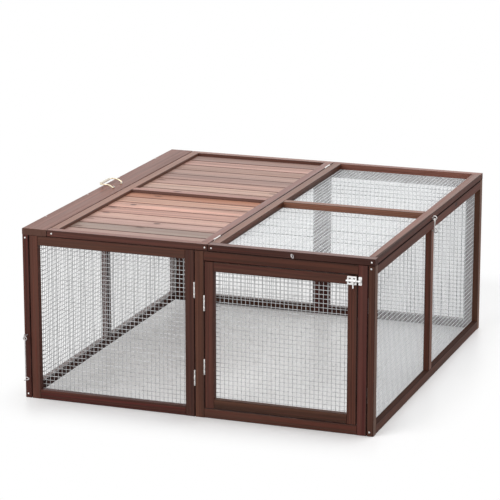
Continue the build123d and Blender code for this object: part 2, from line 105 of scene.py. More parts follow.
class Value:
    """A number socket that takes part in Python expressions; each operator adds a Math node."""

    def __init__(self, graph: Graph, socket: Socket) -> None:
        """Keep the graph and the socket that gives the number."""
        self.graph = graph
        self.socket = socket

    def __add__(self, other: Number) -> Value:
        """Sum."""
        return self.graph.math("ADD", self, other)

    def __radd__(self, other: Number) -> Value:
        """Sum with a plain number on the left."""
        return self.graph.math("ADD", other, self)

    def __sub__(self, other: Number) -> Value:
        """Difference."""
        return self.graph.math("SUBTRACT", self, other)

    def __rsub__(self, other: Number) -> Value:
        """Difference from a plain number on the left."""
        return self.graph.math("SUBTRACT", other, self)

    def __mul__(self, other: Number) -> Value:
        """Product."""
        return self.graph.math("MULTIPLY", self, other)

    def __rmul__(self, other: Number) -> Value:
        """Product with a plain number on the left."""
        return self.graph.math("MULTIPLY", other, self)

    def __truediv__(self, other: Number) -> Value:
        """Quotient."""
        return self.graph.math("DIVIDE", self, other)

    def __rtruediv__(self, other: Number) -> Value:
        """Quotient of a plain number on the left."""
        return self.graph.math("DIVIDE", other, self)

    def __abs__(self) -> Value:
        """Size without sign."""
        return self.graph.math("ABSOLUTE", self)

    def __gt__(self, other: Number) -> Value:
        """One where this is the larger, else nought."""
        return self.graph.math("GREATER_THAN", self, other)

    def floor(self) -> Value:
        """Whole part."""
        return self.graph.math("FLOOR", self)

    def fract(self) -> Value:
        """Part after the point."""
        return self.graph.math("FRACT", self)

    def root(self) -> Value:
        """Square root."""
        return self.graph.math("SQRT", self)

    def most(self, other: Number) -> Value:
        """The larger of two."""
        return self.graph.math("MAXIMUM", self, other)

    def step(self, low: float, high: float) -> Value:
        """Smooth step from nought at low to one at high.

        Args:
            low: value at which the step starts.
            high: value at which it has reached one; it may be below low for a falling step.

        Returns:
            The step's value.
        """
        flip = low > high
        sockets = {"Value": self, "From Min": min(low, high), "From Max": max(low, high)}
        made = self.graph.node("ShaderNodeMapRange", sockets, interpolation_type="SMOOTHSTEP")
        rise = Value(self.graph, made.outputs[0])
        return 1 - rise if flip else rise


Number = Value | float


def paint(red: float, green: float, blue: float) -> Colour:
    """Linear colour from the eight-bit values of a screen colour.

    Args:
        red: red, 0 to 255.
        green: green, 0 to 255.
        blue: blue, 0 to 255.

    Returns:
        Linear red, green and blue, and an alpha of one.
    """
    screen = np.array([red, green, blue]) / 255
    linear = np.where(screen <= 0.04045, screen / 12.92, ((screen + 0.055) / 1.055) ** 2.4)
    return (float(linear[0]), float(linear[1]), float(linear[2]), 1.0)


def grey(level: float) -> Colour:
    """Plain grey of a linear level."""
    return (level, level, level, 1.0)


class Graph:
    """Node tree of one material or of the world."""

    def __init__(self, tree: bpy.types.NodeTree) -> None:
        """Start from an empty tree."""
        self.tree = tree
        tree.nodes.clear()

    @classmethod
    def of_material(cls, name: str) -> tuple[Graph, Material]:
        """New material and its graph.

        Args:
            name: the material's name.

        Returns:
            The graph and the material.
        """
        material = bpy.data.materials.new(name)
        material.use_nodes = True
        return cls(material.node_tree), material

    def node(self, kind: str, sockets: dict | None = None, **settings: object) -> bpy.types.Node:
        """Any node: its settings first, then the values or links of its sockets.

        Args:
            kind: the node's type.
            sockets: input names or numbers, each with a value, a Value or a socket.
            settings: its own settings.

        Returns:
            The new node.
        """
        made = self.tree.nodes.new(kind)
        for key, value in settings.items():
            setattr(made, key, value)
        for key, value in (sockets or {}).items():
            source = value.socket if isinstance(value, Value) else value
            if isinstance(source, Socket):
                self.tree.links.new(source, made.inputs[key])
            else:
                made.inputs[key].default_value = source
        return made

    def math(self, operation: str, *terms: Number) -> Value:
        """One Math node on values and numbers."""
        made = self.node("ShaderNodeMath", dict(enumerate(terms)), operation=operation)
        return Value(self, made.outputs[0])

    def parts(self, vector: Socket) -> list[Value]:
        """The three values of a vector."""
        made = self.node("ShaderNodeSeparateXYZ", {0: vector})
        return [Value(self, socket) for socket in made.outputs]

    def vector(self, x: Number, y: Number, z: Number) -> Socket:
        """A vector from three values."""
        return self.node("ShaderNodeCombineXYZ", {0: x, 1: y, 2: z}).outputs[0]

    def place(self) -> Socket:
        """Object coordinates, in metres."""
        return self.node("ShaderNodeTexCoord").outputs["Object"]

    def facing(self) -> list[Value]:
        """The three values of the surface's way out, in the object's own axes."""
        return self.parts(self.node("ShaderNodeTexCoord").outputs["Normal"])

    def noise(self, vector: Socket, scale: float, detail: float = 2, rough: float = 0.5) -> Value:
        """Smooth noise.

        Args:
            vector: where it is read.
            scale: how many waves to a unit.
            detail: how many finer layers are added.
            rough: how strong each finer layer is.

        Returns:
            Noise from nought to one, about a half.
        """
        sockets = {"Vector": vector, "Scale": scale, "Detail": detail, "Roughness": rough}
        made = self.node("ShaderNodeTexNoise", sockets, noise_dimensions="3D")
        return Value(self, made.outputs[0])

    def chance(self, seed: Number) -> list[Value]:
        """Three random values that hang on one number.

        Args:
            seed: the number.

        Returns:
            Values from nought to one.
        """
        made = self.node("ShaderNodeTexWhiteNoise", {"W": seed}, noise_dimensions="1D")
        split = self.node("ShaderNodeSeparateColor", {0: made.outputs["Color"]})
        return [Value(self, socket) for socket in split.outputs]

    def mix(self, share: Number, first: object, second: object) -> Socket:
        """Mix of two colours, or sockets, by the share of the second."""
        sockets = {0: share, 6: first, 7: second}
        return self.node("ShaderNodeMix", sockets, data_type="RGBA", clamp_factor=True).outputs[2]

    def tint(self, colour: object, hue: Number, value: Number) -> Socket:
        """Shift a colour's hue and value."""
        sockets = {"Hue": hue, "Saturation": 1.0, "Value": value, "Color": colour}
        return self.node("ShaderNodeHueSaturation", sockets).outputs[0]

    def bump(self, height: Value, strength: float, depth: float) -> Socket:
        """Normal of a relief whose height runs from nought to one, by its share and its depth in metres."""
        sockets = {"Height": height, "Strength": strength, "Distance": depth}
        return self.node("ShaderNodeBump", sockets).outputs[0]

    def rays(self) -> tuple[Value, Value]:
        """One on rays from the camera, and one on rays from mirrors and glass.

        Returns:
            The two masks.
        """
        path = self.node("ShaderNodeLightPath")
        camera, glossy, clear = (
            Value(self, path.outputs[f"Is {kind} Ray"]) for kind in ("Camera", "Glossy", "Transmission")
        )
        return camera, glossy.most(clear)

    def surface(self, sockets: dict) -> None:
        """Principled surface as the material's output."""
        shader = self.node("ShaderNodeBsdfPrincipled", sockets)
        self.node("ShaderNodeOutputMaterial", {"Surface": shader.outputs[0]})


# Finishes


@dataclass(frozen=True)
class Lay:
    """How the laths of one node lie: their grain, their face and their rows across the face."""

    grain: Way
    face: Way
    start: float
    pitch: float
    first: float
    step: float
    depth: float
    seed: float

    @classmethod
    def pair(cls, node: str, grain: Way, face: Way, width: float) -> Lay:
        """One or two laths of one width at the edges of a node's box.

        Args:
            node: the node.
            grain: axis along the laths.
            face: axis through their thickness.
            width: face width of each lath.

        Returns:
            The lay.
        """
        low, high = corners_of(node)
        across = third_way(grain, face).value
        span = float(high[across] - low[across])
        pitch = (span + 2 * MM) / (2 if span > 1.5 * width else 1)
        start = float(low[across])
        middle = float(low[face.value] + high[face.value]) / 2
        first, step = start + width / 2, max(span - width, 0.0)
        return cls(grain, face, start - MM, pitch, first, step, middle, cls.seed_of(node))

    @classmethod
    def rows(cls, node: str, grain: Way, face: Way, count: int, gap: float) -> Lay:
        """Even rows of laths across a node's box.

        Args:
            node: the node.
            grain: axis along the laths.
            face: axis through their thickness.
            count: how many rows.
            gap: open gap between rows.

        Returns:
            The lay.
        """
        low, high = corners_of(node)
        across = third_way(grain, face).value
        pitch = float(high[across] - low[across] + gap) / count
        start = float(low[across]) - gap / 2
        middle = float(low[face.value] + high[face.value]) / 2
        return cls(grain, face, start, pitch, start + pitch / 2, pitch, middle, cls.seed_of(node))

    @staticmethod
    def seed_of(node: str) -> float:
        """A number that hangs on the node's name alone, for its own run of chance."""
        return float(sum(map(ord, node)) % 89)

    def across(self) -> Way:
        """Axis across the laths' face."""
        return third_way(self.grain, self.face)


@dataclass(frozen=True)
class Figure:
    """One noise in the wood: waves to a metre along and across the grain, finer layers, their strength."""

    along: float
    across: float
    detail: float = 2
    rough: float = 0.5


class Grain:
    """Where a shader is on the laths of one lay, the way it faces, and the chances of each row."""

    def __init__(self, graph: Graph, lay: Lay) -> None:
        """Work out the place along, across and through a lath, and masks of its arrises, ends and joints.

        Args:
            graph: the material's graph.
            lay: how the laths lie.
        """
        spots = graph.parts(graph.place())
        self.graph = graph
        self.height = spots[Way.Z.value]
        self.along = spots[lay.grain.value]
        self.cross = spots[lay.across().value]
        self.deep = spots[lay.face.value] - lay.depth
        self.row = ((self.cross - lay.start) / lay.pitch).floor()
        self.dice = graph.chance(self.row * 1.37 + lay.seed)
        self.more = graph.chance(self.row * 2.71 + lay.seed + 31.7)
        self.side = self.cross - (self.row * lay.step + lay.first)
        self.run = self.along + self.dice[0] * 7.3
        self.ways = graph.facing()
        facing = [abs(part) for part in self.ways]
        self.arris = facing[0].most(facing[1]).most(facing[2]).step(0.96, 0.8)
        self.end = facing[lay.grain.value].step(0.7, 0.95)
        self.joint = facing[lay.across().value].step(0.3, 0.65)

    def noise(self, figure: Figure, shift: Number | None = None) -> Value:
        """Noise drawn out along the grain.

        Args:
            figure: its waves.
            shift: how far it is moved across the grain.

        Returns:
            Noise from nought to one.
        """
        beside = self.side * figure.across
        beside = beside if shift is None else beside + shift
        spot = self.graph.vector(self.run * figure.along, beside, self.deep * figure.across)
        return self.graph.noise(spot, 1.0, figure.detail, figure.rough)


@dataclass(frozen=True)
class Timber:
    """Stained softwood: rings about a pith beside each lath, streaks, fibres, knots and worn arrises, with
    painted light and shade.

    A stained row is a row's number, a colour and a share. A placed knot is a place along and across
    the grain and a size. A seam is a height, a reach and a share. A dark edge is a place along and
    across the grain, a length and a width.
    """

    name: str
    early: Colour
    late: Colour
    fibre: Colour
    streak: Colour
    worn: Colour
    knot: Colour
    ring: float = 3.2 * MM
    late_share: float = 0.55
    fibre_share: float = 0.5
    streak_share: float = 0.5
    band_share: float = 0.0
    tone_spread: float = 0.2
    hue_spread: float = 0.014
    hue_lean: float = 0.9
    # Painted light: the faces turned one way are mixed towards this lighter colour, as where light falls on
    # them.
    painted_light_colour: Colour = (0.2, 0.07, 0.04, 1.0)
    painted_light_share: float = 0.0
    painted_light_way: Way = Way.Z
    # Arrises darkened: partly stain gathered there, partly painted shade.
    arris_shade: float = 0.35
    # Painted shade on the faces across the laths.
    edge_shade: float = 0.0
    end_shade: float = 0.0
    scuff_share: float = 0.6
    # Painted shade at seams: each a height, a reach and a share.
    painted_seam_shades: tuple[tuple[float, float, float], ...] = ()
    weather: Colour = (0.3, 0.27, 0.25, 1.0)
    weather_share: float = 0.0
    knots: float = 0.35
    rough: float = 0.5
    ior: float = 1.34
    relief: float = 0.35
    stained_rows: tuple[tuple[int, Colour, float], ...] = ()
    placed_knots: tuple[tuple[float, float, float], ...] = ()
    dark_edges: tuple[tuple[float, float, float, float], ...] = ()
    wander: Figure = Figure(1.7, 8)
    fibres: Figure = Figure(8, 620, 4, 0.62)
    pores: Figure = Figure(34, 1900)
    streaks: Figure = Figure(1.3, 150, 3, 0.6)
    blotches: Figure = Figure(2.6, 30, 3)
    scuffs: Figure = Figure(60, 90, 3, 0.6)
    bands: Figure = Figure(0.9, 84)
    greying: Figure = Figure(3, 150, 4, 0.6)

    def knot_masks(self, grain: Grain) -> tuple[Value, Value]:
        """Knots: sparse cells of a run of cells along the grain, and given places.

        Args:
            grain: the place on the lath.

        Returns:
            The knots' cores, and the wider halos that push the rings aside.
        """
        graph = grain.graph
        spot = graph.vector(grain.run * 5.2, grain.side * 13 + grain.row * 3.7, 0.0)
        cells = {"Vector": spot, "Scale": 1.0}
        cell = graph.node("ShaderNodeTexVoronoi", cells, voronoi_dimensions="2D", feature="F1")
        pick = graph.node("ShaderNodeSeparateColor", {0: cell.outputs["Color"]})
        reach = Value(graph, cell.outputs["Distance"])
        has_knot = Value(graph, pick.outputs[0]) > 1 - self.knots
        core = has_knot * reach.step(0.085, 0.045)
        halo = has_knot * reach.step(0.34, 0.05)
        for at, over, size in self.placed_knots:
            ahead, beside = (grain.along - at) / (1.4 * size), (grain.cross - over) / size
            gap = (ahead * ahead + beside * beside).root()
            core = core.most(gap.step(1.0, 0.6))
            halo = halo.most(gap.step(3.6, 0.8))
        return core, halo

    def late_wood(self, grain: Grain, halo: Value) -> Value:
        """Rings: the fractional part of the distance from a pith that wanders beside the lath.

        Args:
            grain: the place on the lath.
            halo: the knots' halos.

        Returns:
            The share of dark late wood.
        """
        wander = grain.noise(self.wander, grain.dice[1] * 5) - 0.5
        flat = grain.side + (grain.dice[1] - 0.5) * 0.09 + wander * 0.034
        pith = grain.deep + grain.dice[2] * 0.06 + 0.014
        saw = ((flat * flat + pith * pith).root() / self.ring + halo * 2.4).fract()
        return saw.step(0.3, 0.9) * saw.step(1.0, 0.92)

    def dark_masks(self, grain: Grain) -> list[Value]:
        """Dark edges: each tapers from its widest place to nothing along the top of a lath.

        Args:
            grain: the place on the lath.

        Returns:
            One mask for each edge.
        """
        masks = []
        for at, over, length, width in self.dark_edges:
            taper = abs((grain.along - at) / length) + abs((grain.cross - over) / width)
            masks.append(taper.step(1.0, 0.8) * grain.ways[Way.Z.value].step(0.5, 0.9) * 0.8)
        return masks

    def seam_shade_masks(self, grain: Grain) -> list[Value]:
        """Painted shade: a dark band at the height of each seam."""
        height = grain.height
        return [(abs(height - z) / reach).step(1.0, 0.5) * share for z, reach, share in self.painted_seam_shades]

    def stained(self, grain: Grain, late: Value, fibre: Value, pores: Value) -> Socket:
        """Stained wood: rings, streaks, bands and fibres, then grey weather and painted light on the faces
        turned one way.

        A row may have a stain of its own.

        Args:
            grain: the place on the lath.
            late: the share of late wood.
            fibre: noise of the fibres.
            pores: noise of the pores.

        Returns:
            The colour.
        """
        graph = grain.graph
        drift = grain.noise(self.streaks)
        colour = graph.mix(late * self.late_share, self.early, self.late)
        colour = graph.mix(drift.step(0.46, 0.66) * self.streak_share, colour, self.streak)
        for number, stain, share in self.stained_rows:
            mine = 1 - (abs(grain.row - number) > 0.5)
            colour = graph.mix(mine * share, colour, stain)
        if self.band_share:
            bands = grain.noise(self.bands, grain.more[0] * 9)
            colour = graph.mix(bands.step(0.44, 0.58) * self.band_share, colour, self.late)
        colour = graph.mix(fibre.step(0.47, 0.72) * self.fibre_share, colour, self.fibre)
        colour = graph.mix(pores.step(0.6, 0.75) * 0.35, colour, self.fibre)
        if self.weather_share:
            greyed = (grain.noise(self.greying, 9.1) + grain.more[0] * 0.5 - 0.25).step(0.42, 0.72)
            colour = graph.mix(greyed * self.weather_share, colour, self.weather)
        # Painted light: the faces turned one way are lightened, as by the light that falls on them.
        if self.painted_light_share:
            light_painted = grain.ways[self.painted_light_way.value].step(0.8, 0.97)
            colour = graph.mix(light_painted * self.painted_light_share, colour, self.painted_light_colour)
        return colour

    def toned(self, grain: Grain, colour: Socket) -> Socket:
        """A colour with each row's own tone and hue, and slow blotches.

        Args:
            grain: the place on the lath.
            colour: the colour before.

        Returns:
            The colour after.
        """
        blotch = grain.noise(self.blotches)
        tone = 1 + (grain.more[1] - 0.5) * (2 * self.tone_spread) + (blotch - 0.5) * 0.55
        hue = 0.5 + (grain.more[2] - self.hue_lean) * (2 * self.hue_spread)
        return grain.graph.tint(colour, hue, tone)

    def handled(self, grain: Grain, colour: Socket, seam_shades: list[Value]) -> Socket:
        """A colour with dark arrises and pale scuffs on them, darker ends, and painted shade across the
        laths and in the seams.

        Args:
            grain: the place on the lath.
            colour: the colour before.
            seam_shades: where painted shade lies at the seams.

        Returns:
            The colour after.
        """
        graph = grain.graph
        scuff = grain.noise(self.scuffs).step(0.54, 0.72)
        # Arrises darkened towards the knot colour: partly stain gathered there, partly painted shade so
        # seams between parts read dark.
        colour = graph.mix(grain.arris * self.arris_shade, colour, self.knot)
        colour = graph.mix(grain.arris * scuff * self.scuff_share, colour, self.worn)
        colour = graph.mix(grain.end * 0.55, colour, self.late)
        colour = graph.mix(grain.end * self.end_shade, colour, self.knot)
        # Painted shade: a dark band at the height of each seam.
        for seam_shade in seam_shades:
            colour = graph.mix(seam_shade, colour, self.knot)
        # Painted shade: the faces across the laths, in the gaps between slats and on the batten's front,
        # are darkened.
        return graph.mix(grain.joint * self.edge_shade, colour, self.knot)

    def material(self, lay: Lay) -> Material:
        """Material for the laths of one lay: stained wood, then its dark marks, its tone, and its wear and
        painted shade.

        Args:
            lay: how the laths lie.

        Returns:
            The material.
        """
        graph, material = Graph.of_material(f"{self.name}_{int(lay.seed)}_{lay.grain.name.lower()}")
        grain = Grain(graph, lay)
        core, halo = self.knot_masks(grain)
        late = self.late_wood(grain, halo)
        fibre, pores = grain.noise(self.fibres), grain.noise(self.pores)
        darks, seam_shades = self.dark_masks(grain), self.seam_shade_masks(grain)

        colour = self.stained(grain, late, fibre, pores)
        for dark in darks:
            colour = graph.mix(dark, colour, self.knot)
        colour = graph.mix(core * 0.85, colour, self.knot)
        colour = graph.mix(halo * 0.25, colour, self.late)
        colour = self.handled(grain, self.toned(grain, colour), seam_shades)

        rough = self.rough + (fibre - 0.5) * 0.25 + grain.end * 0.2 + grain.arris * 0.06 - late * 0.06
        for dark in darks:
            rough = rough + dark * 0.3
        for seam_shade in seam_shades:
            rough = rough + seam_shade * 0.58
        height = fibre * 0.55 - late * 0.35 + pores * 0.2 - core * 0.3
        graph.surface(
            {
                "Base Color": colour,
                "Roughness": rough,
                "IOR": self.ior,
                "Normal": graph.bump(height, self.relief, 0.5 * MM),
            }
        )
        return material


@dataclass(frozen=True)
class PlatedSteel:
    """Plated steel: bright metal with cloudy dull patches and fine drawn scratches."""

    name: str
    bright: Colour
    dull: Colour
    rough: float = 0.3
    cloud: float = 160.0
    cloud_share: float = 0.5
    metallic: float = 1.0
    relief: float = 0.1

    def material(self) -> Material:
        """The material: two noises, one cloudy and one fine, mix bright and dull plating.

        Returns:
            The material.
        """
        graph, material = Graph.of_material(self.name)
        spot = graph.place()
        cloud = graph.noise(spot, self.cloud, 3, 0.6)
        fine = graph.noise(spot, self.cloud * 11, 2)
        x, y, z = graph.parts(spot)
        drawn = graph.noise(graph.vector(x * 2600, y * 2600, z * 180), 1.0, 2)
        dull = cloud.step(0.4, 0.68) * self.cloud_share
        colour = graph.mix(dull + fine.step(0.62, 0.8) * 0.2, self.bright, self.dull)
        shine = self.rough + dull * 0.22 + (drawn - 0.5) * 0.16
        graph.surface(
            {
                "Base Color": colour,
                "Metallic": self.metallic,
                "Roughness": shine,
                "Normal": graph.bump(fine * 0.6 + drawn * 0.4, self.relief, 0.1 * MM),
            }
        )
        return material


@dataclass(frozen=True)
class MouldedPlastic:
    """Pale moulded plastic: slow clouds of tone and a fine skin."""

    name: str
    pale: Colour
    shade: Colour
    rough: float = 0.36

    def material(self) -> Material:
        """The material: a slow noise mixes the two tones and a fine one dimples the skin.

        Returns:
            The material.
        """
        graph, material = Graph.of_material(self.name)
        spot = graph.place()
        cloud = graph.noise(spot, 110.0, 3, 0.6)
        skin = graph.noise(spot, 2400.0, 2)
        graph.surface(
            {
                "Base Color": graph.mix(cloud.step(0.38, 0.7) * 0.6, self.pale, self.shade),
                "Roughness": self.rough + (cloud - 0.5) * 0.2,
                "IOR": 1.46,
                "Normal": graph.bump(skin, 0.15, 0.05 * MM),
            }
        )
        return material


# Surfaces


@dataclass
class Skin:
    """Points and the faces on them, as whole arrays: one array of faces for each corner count."""

    points: np.ndarray
    faces: list[np.ndarray]

    def __add__(self, other: Skin) -> Skin:
        """Two skins as one."""
        shifted = [corners + len(self.points) for corners in other.faces]
        return Skin(np.concatenate([self.points, other.points]), self.faces + shifted)

    def copies(self, frames: np.ndarray, origins: np.ndarray) -> Skin:
        """The skin repeated: point times frame plus origin, for every copy at once.

        Args:
            frames: (n, 3, 3), whose rows are each copy's own three axes.
            origins: (n, 3).

        Returns:
            All the copies as one skin.
        """
        spread = np.einsum("vk,nkc->nvc", self.points, frames) + origins[:, None, :]
        shift = np.arange(len(origins))[:, None, None] * len(self.points)
        faces = [(corners[None] + shift).reshape(-1, corners.shape[1]) for corners in self.faces]
        return Skin(spread.reshape(-1, 3), faces)

    def set_in(self, origin: np.ndarray, axis: np.ndarray, across: np.ndarray) -> Skin:
        """The skin with its own z along an axis and its own x across it, moved to an origin."""
        side = np.cross(axis, across)
        return self.copies(np.array([[across, side, axis]], float), np.array([origin], float))


def join(skins: list[Skin]) -> Skin:
    """Several skins as one.

    Args:
        skins: at least one skin.

    Returns:
        All their points and faces, in order.
    """
    total = skins[0]
    for skin in skins[1:]:
        total = total + skin
    return total


def grid(rows: int, columns: int, wrap: bool, closed: bool = False) -> np.ndarray:
    """Faces of a grid of points, four corners each, outwards for rows along and columns round a path.

    Args:
        rows: points along the path.
        columns: points round the profile.
        wrap: the columns close on themselves.
        closed: the rows close on themselves.

    Returns:
        Corner numbers, (n, 4).
    """
    numbers = np.arange(rows * columns).reshape(rows, columns)
    if wrap:
        numbers = np.concatenate([numbers, numbers[:, :1]], axis=1)
    if closed:
        numbers = np.concatenate([numbers, numbers[:1]], axis=0)
    corners = [numbers[:-1, :-1], numbers[:-1, 1:], numbers[1:, 1:], numbers[1:, :-1]]
    return np.stack(corners, axis=-1).reshape(-1, 4)


def end_caps(rows: int, sides: int) -> list[np.ndarray]:
    """Faces that close both ends of a grid whose columns wrap."""
    first = np.arange(sides)[None]
    return [first[:, ::-1], first + (rows - 1) * sides]


def fan(ring: np.ndarray, pole: int) -> np.ndarray:
    """Three-cornered faces from a ring of points to a pole above it."""
    return np.stack([ring, np.roll(ring, -1), np.full(len(ring), pole)], axis=-1)


def circle(sides: int) -> np.ndarray:
    """Cosine and sine of even angles round a circle, (sides, 2)."""
    angles = np.arange(sides) * TURN / sides
    return np.stack([np.cos(angles), np.sin(angles)], axis=-1)


def hoops(radius: np.ndarray, height: np.ndarray, sides: int) -> np.ndarray:
    """Circles about z: each radius times cosine and sine, at its height.

    Args:
        radius: (n,).
        height: (n,).
        sides: points round each circle.

    Returns:
        Points, (n, sides, 3).
    """
    points = np.empty((len(radius), sides, 3))
    points[..., :2] = radius[:, None, None] * circle(sides)[None]
    points[..., 2] = height[:, None]
    return points


def carried(
    path: np.ndarray, ref: np.ndarray, profile: np.ndarray, scale: np.ndarray | None = None
) -> Skin:
    """A profile carried along a path: path point + scale * (profile x * normal + profile y * binormal).

    The normal is the reference way with its share along the path taken off, and the binormal is the
    path's way crossed with the normal.

    Args:
        path: (n, 3).
        ref: a way that the path never follows.
        profile: (m, 2), anticlockwise.
        scale: size of the profile at each path point.

    Returns:
        The skin, with flat ends.
    """
    run = np.gradient(path, axis=0)
    run = run / np.linalg.norm(run, axis=1, keepdims=True)
    normal = ref - (run @ ref)[:, None] * run
    normal = normal / np.linalg.norm(normal, axis=1, keepdims=True)
    binormal = np.cross(run, normal)
    size = np.ones(len(path)) if scale is None else scale
    ring = profile[None, :, :1] * normal[:, None] + profile[None, :, 1:] * binormal[:, None]
    points = path[:, None] + ring * size[:, None, None]
    sides = len(profile)
    faces = [grid(len(path), sides, True), *end_caps(len(path), sides)]
    return Skin(points.reshape(-1, 3), faces)


def wire(path: np.ndarray, ref: np.ndarray, radius: float, sides: int = 14) -> Skin:
    """Round wire along an open path, its cut ends eased.

    Path points nearer to an end than half the radius give way to stops at 0, 0.16 and 0.4 of the
    radius, where the wire is 0.6, 0.85 and 1 times its full thickness.

    Args:
        path: (n, 3).
        ref: a way that the path never follows.
        radius: the wire's radius.
        sides: points round the wire.

    Returns:
        The skin.
    """
    steps = np.linalg.norm(np.diff(path, axis=0), axis=1)
    place = np.concatenate([[0.0], np.cumsum(steps)])
    ease = np.array([0.0, 0.16, 0.4]) * radius
    taper = np.array([0.6, 0.85, 1.0])
    inner = place[(place > radius / 2) & (place < place[-1] - radius / 2)]
    stops = np.concatenate([ease, inner, place[-1] - ease[::-1]])
    eased = np.stack([np.interp(stops, place, values) for values in path.T], axis=-1)
    scale = radius * np.concatenate([taper, np.ones(len(inner)), taper[::-1]])
    return carried(eased, np.asarray(ref, float), circle(sides), scale)


def turned(profile: list[tuple[float, float]], sides: int) -> Skin:
    """Turned shape: radius times the cosine and sine of an angle, and height, for each profile point.

    Args:
        profile: radius and height from the low end to the high end; nought radius makes a pole.
        sides: points round the axis.

    Returns:
        The skin about z.
    """
    radius, height = np.array(profile, float).T
    low, high = radius[0] == 0, radius[-1] == 0
    body = slice(1 if low else 0, -1 if high else None)
    rings = hoops(radius[body], height[body], sides)
    points = rings.reshape(-1, 3)
    foot, crown = end_caps(len(rings), sides)
    if low:
        points = np.concatenate([points, [[0, 0, height[0]]]])
        foot = fan(np.arange(sides), len(points) - 1)[:, ::-1]
    if high:
        points = np.concatenate([points, [[0, 0, height[-1]]]])
        crown = fan(crown[0], len(points) - 1)
    return Skin(points, [grid(len(rings), sides, True), foot, crown])


def sleeve(inner: float, outer: float, low: float, high: float, ease: float, sides: int) -> Skin:
    """Short tube about z with eased rims: a closed profile turned about the axis.

    Args:
        inner: the bore's radius.
        outer: the tube's radius.
        low: lower end.
        high: upper end.
        ease: how far the outer rims are drawn in.
        sides: points round the tube.

    Returns:
        The skin about z.
    """
    outline = [
        (inner, low),
        (outer - ease, low),
        (outer - ease * 0.3, low + ease * 0.3),
        (outer, low + ease),
        (outer, high - ease),
        (outer - ease * 0.3, high - ease * 0.3),
        (outer - ease, high),
        (inner, high),
    ]
    radius, height = np.array(outline).T
    points = hoops(radius, height, sides).reshape(-1, 3)
    return Skin(points, [grid(len(outline), sides, True, True)])


def rounded_outline(width: float, height: float, radius: float, steps: int = 5) -> np.ndarray:
    """Rectangle with round corners about the origin, anticlockwise: four quarter turns joined up.

    Args:
        width: its width.
        height: its height.
        radius: radius of its corners.
        steps: points in each corner.

    Returns:
        The outline, (m, 2).
    """
    quarter = np.linspace(0, TURN / 4, steps)
    turns = quarter[None] + np.arange(4)[:, None] * TURN / 4
    signs = np.array([[1, 1], [-1, 1], [-1, -1], [1, -1]])
    centres = signs * np.array([width / 2 - radius, height / 2 - radius])
    arcs = centres[:, None] + radius * np.stack([np.cos(turns), np.sin(turns)], axis=-1)
    return arcs.reshape(-1, 2)


def slab(outline: np.ndarray, low: float, high: float, ease: float) -> Skin:
    """Flat plate of one outline between two heights: the outline shrunk a little at both faces.

    Args:
        outline: (m, 2), anticlockwise.
        low: lower face.
        high: upper face.
        ease: how far the faces' edges are drawn in.

    Returns:
        The skin about z.
    """
    middle = outline.mean(axis=0)
    spread = outline - middle
    reach = np.linalg.norm(spread, axis=1, keepdims=True)
    inset = middle + spread * (1 - ease / reach)
    levels = [(inset, low), (outline, low + ease), (outline, high - ease), (inset, high)]
    points = np.concatenate([np.column_stack([ring, np.full(len(ring), z)]) for ring, z in levels])
    count = len(outline)
    return Skin(points, [grid(len(levels), count, True), *end_caps(len(levels), count)])


def pierced(
    xs: list[float], ys: list[float], holes: list[tuple[int, int]], corner: float, thick: float
) -> Skin:
    """Flat plate with oblong windows: the cells of an uneven grid, less the holes, given a thickness.

    Every solid cell gives a face above and one below, and each of its sides that borders a hole or the
    outside gives a wall. The four outer corner points are drawn in to round the plate.

    Args:
        xs: grid lines across, rising.
        ys: grid lines up, rising.
        holes: column and row of each open cell.
        corner: how far the corner points are drawn in, along both axes.
        thick: the plate's thickness.

    Returns:
        The skin about z.
    """
    u, v = np.meshgrid(xs, ys, indexing="ij")
    u[[0, 0], [0, -1]] += corner
    u[[-1, -1], [0, -1]] -= corner
    v[[0, -1], [0, 0]] += corner
    v[[0, -1], [-1, -1]] -= corner
    layer = np.stack([u, v, np.zeros_like(u)], axis=-1).reshape(-1, 3)
    points = np.concatenate([layer, layer + np.array([0, 0, thick])])
    solid = np.ones((len(xs) - 1, len(ys) - 1), bool)
    for column, row in holes:
        solid[column, row] = False
    numbers = np.arange(u.size).reshape(u.shape)
    a, b, c, d = numbers[:-1, :-1], numbers[1:, :-1], numbers[1:, 1:], numbers[:-1, 1:]
    cells = np.stack([a, b, c, d], axis=-1)[solid]
    faces = [cells[:, ::-1], cells + u.size]
    framed = np.pad(solid, 1)
    beside = (framed[1:-1, :-2], framed[2:, 1:-1], framed[1:-1, 2:], framed[:-2, 1:-1])
    for neighbour, start, end in zip(beside, (a, b, c, d), (b, c, d, a)):
        bare = solid & ~neighbour
        low, high = start[bare], end[bare]
        faces.append(np.stack([low, high, high + u.size, low + u.size], axis=-1))
    return Skin(points, faces)


def filleted(corners: np.ndarray, radii: list[float], steps: int = 8) -> np.ndarray:
    """Path through corners with a round bend at each inner one.

    Each bend leaves one run and joins the next at the same distance from the corner, on the arc of
    the given radius.

    Args:
        corners: (n, 3).
        radii: bend radius at each inner corner.
        steps: points in each bend.

    Returns:
        The path, (m, 3).
    """
    stops = [corners[0][None]]
    for before, here, after, radius in zip(corners[:-2], corners[1:-1], corners[2:], radii):
        back = (before - here) / np.linalg.norm(before - here)
        ahead = (after - here) / np.linalg.norm(after - here)
        half = math.acos(float(np.clip(back @ ahead, -1, 1))) / 2
        hub = here + (back + ahead) / np.linalg.norm(back + ahead) * radius / math.sin(half)
        start = here + back * radius / math.tan(half) - hub
        angles = np.linspace(0, math.pi - 2 * half, steps)[:, None]
        stops.append(hub + np.cos(angles) * start - np.sin(angles) * radius * back)
    stops.append(corners[-1][None])
    return np.concatenate(stops)


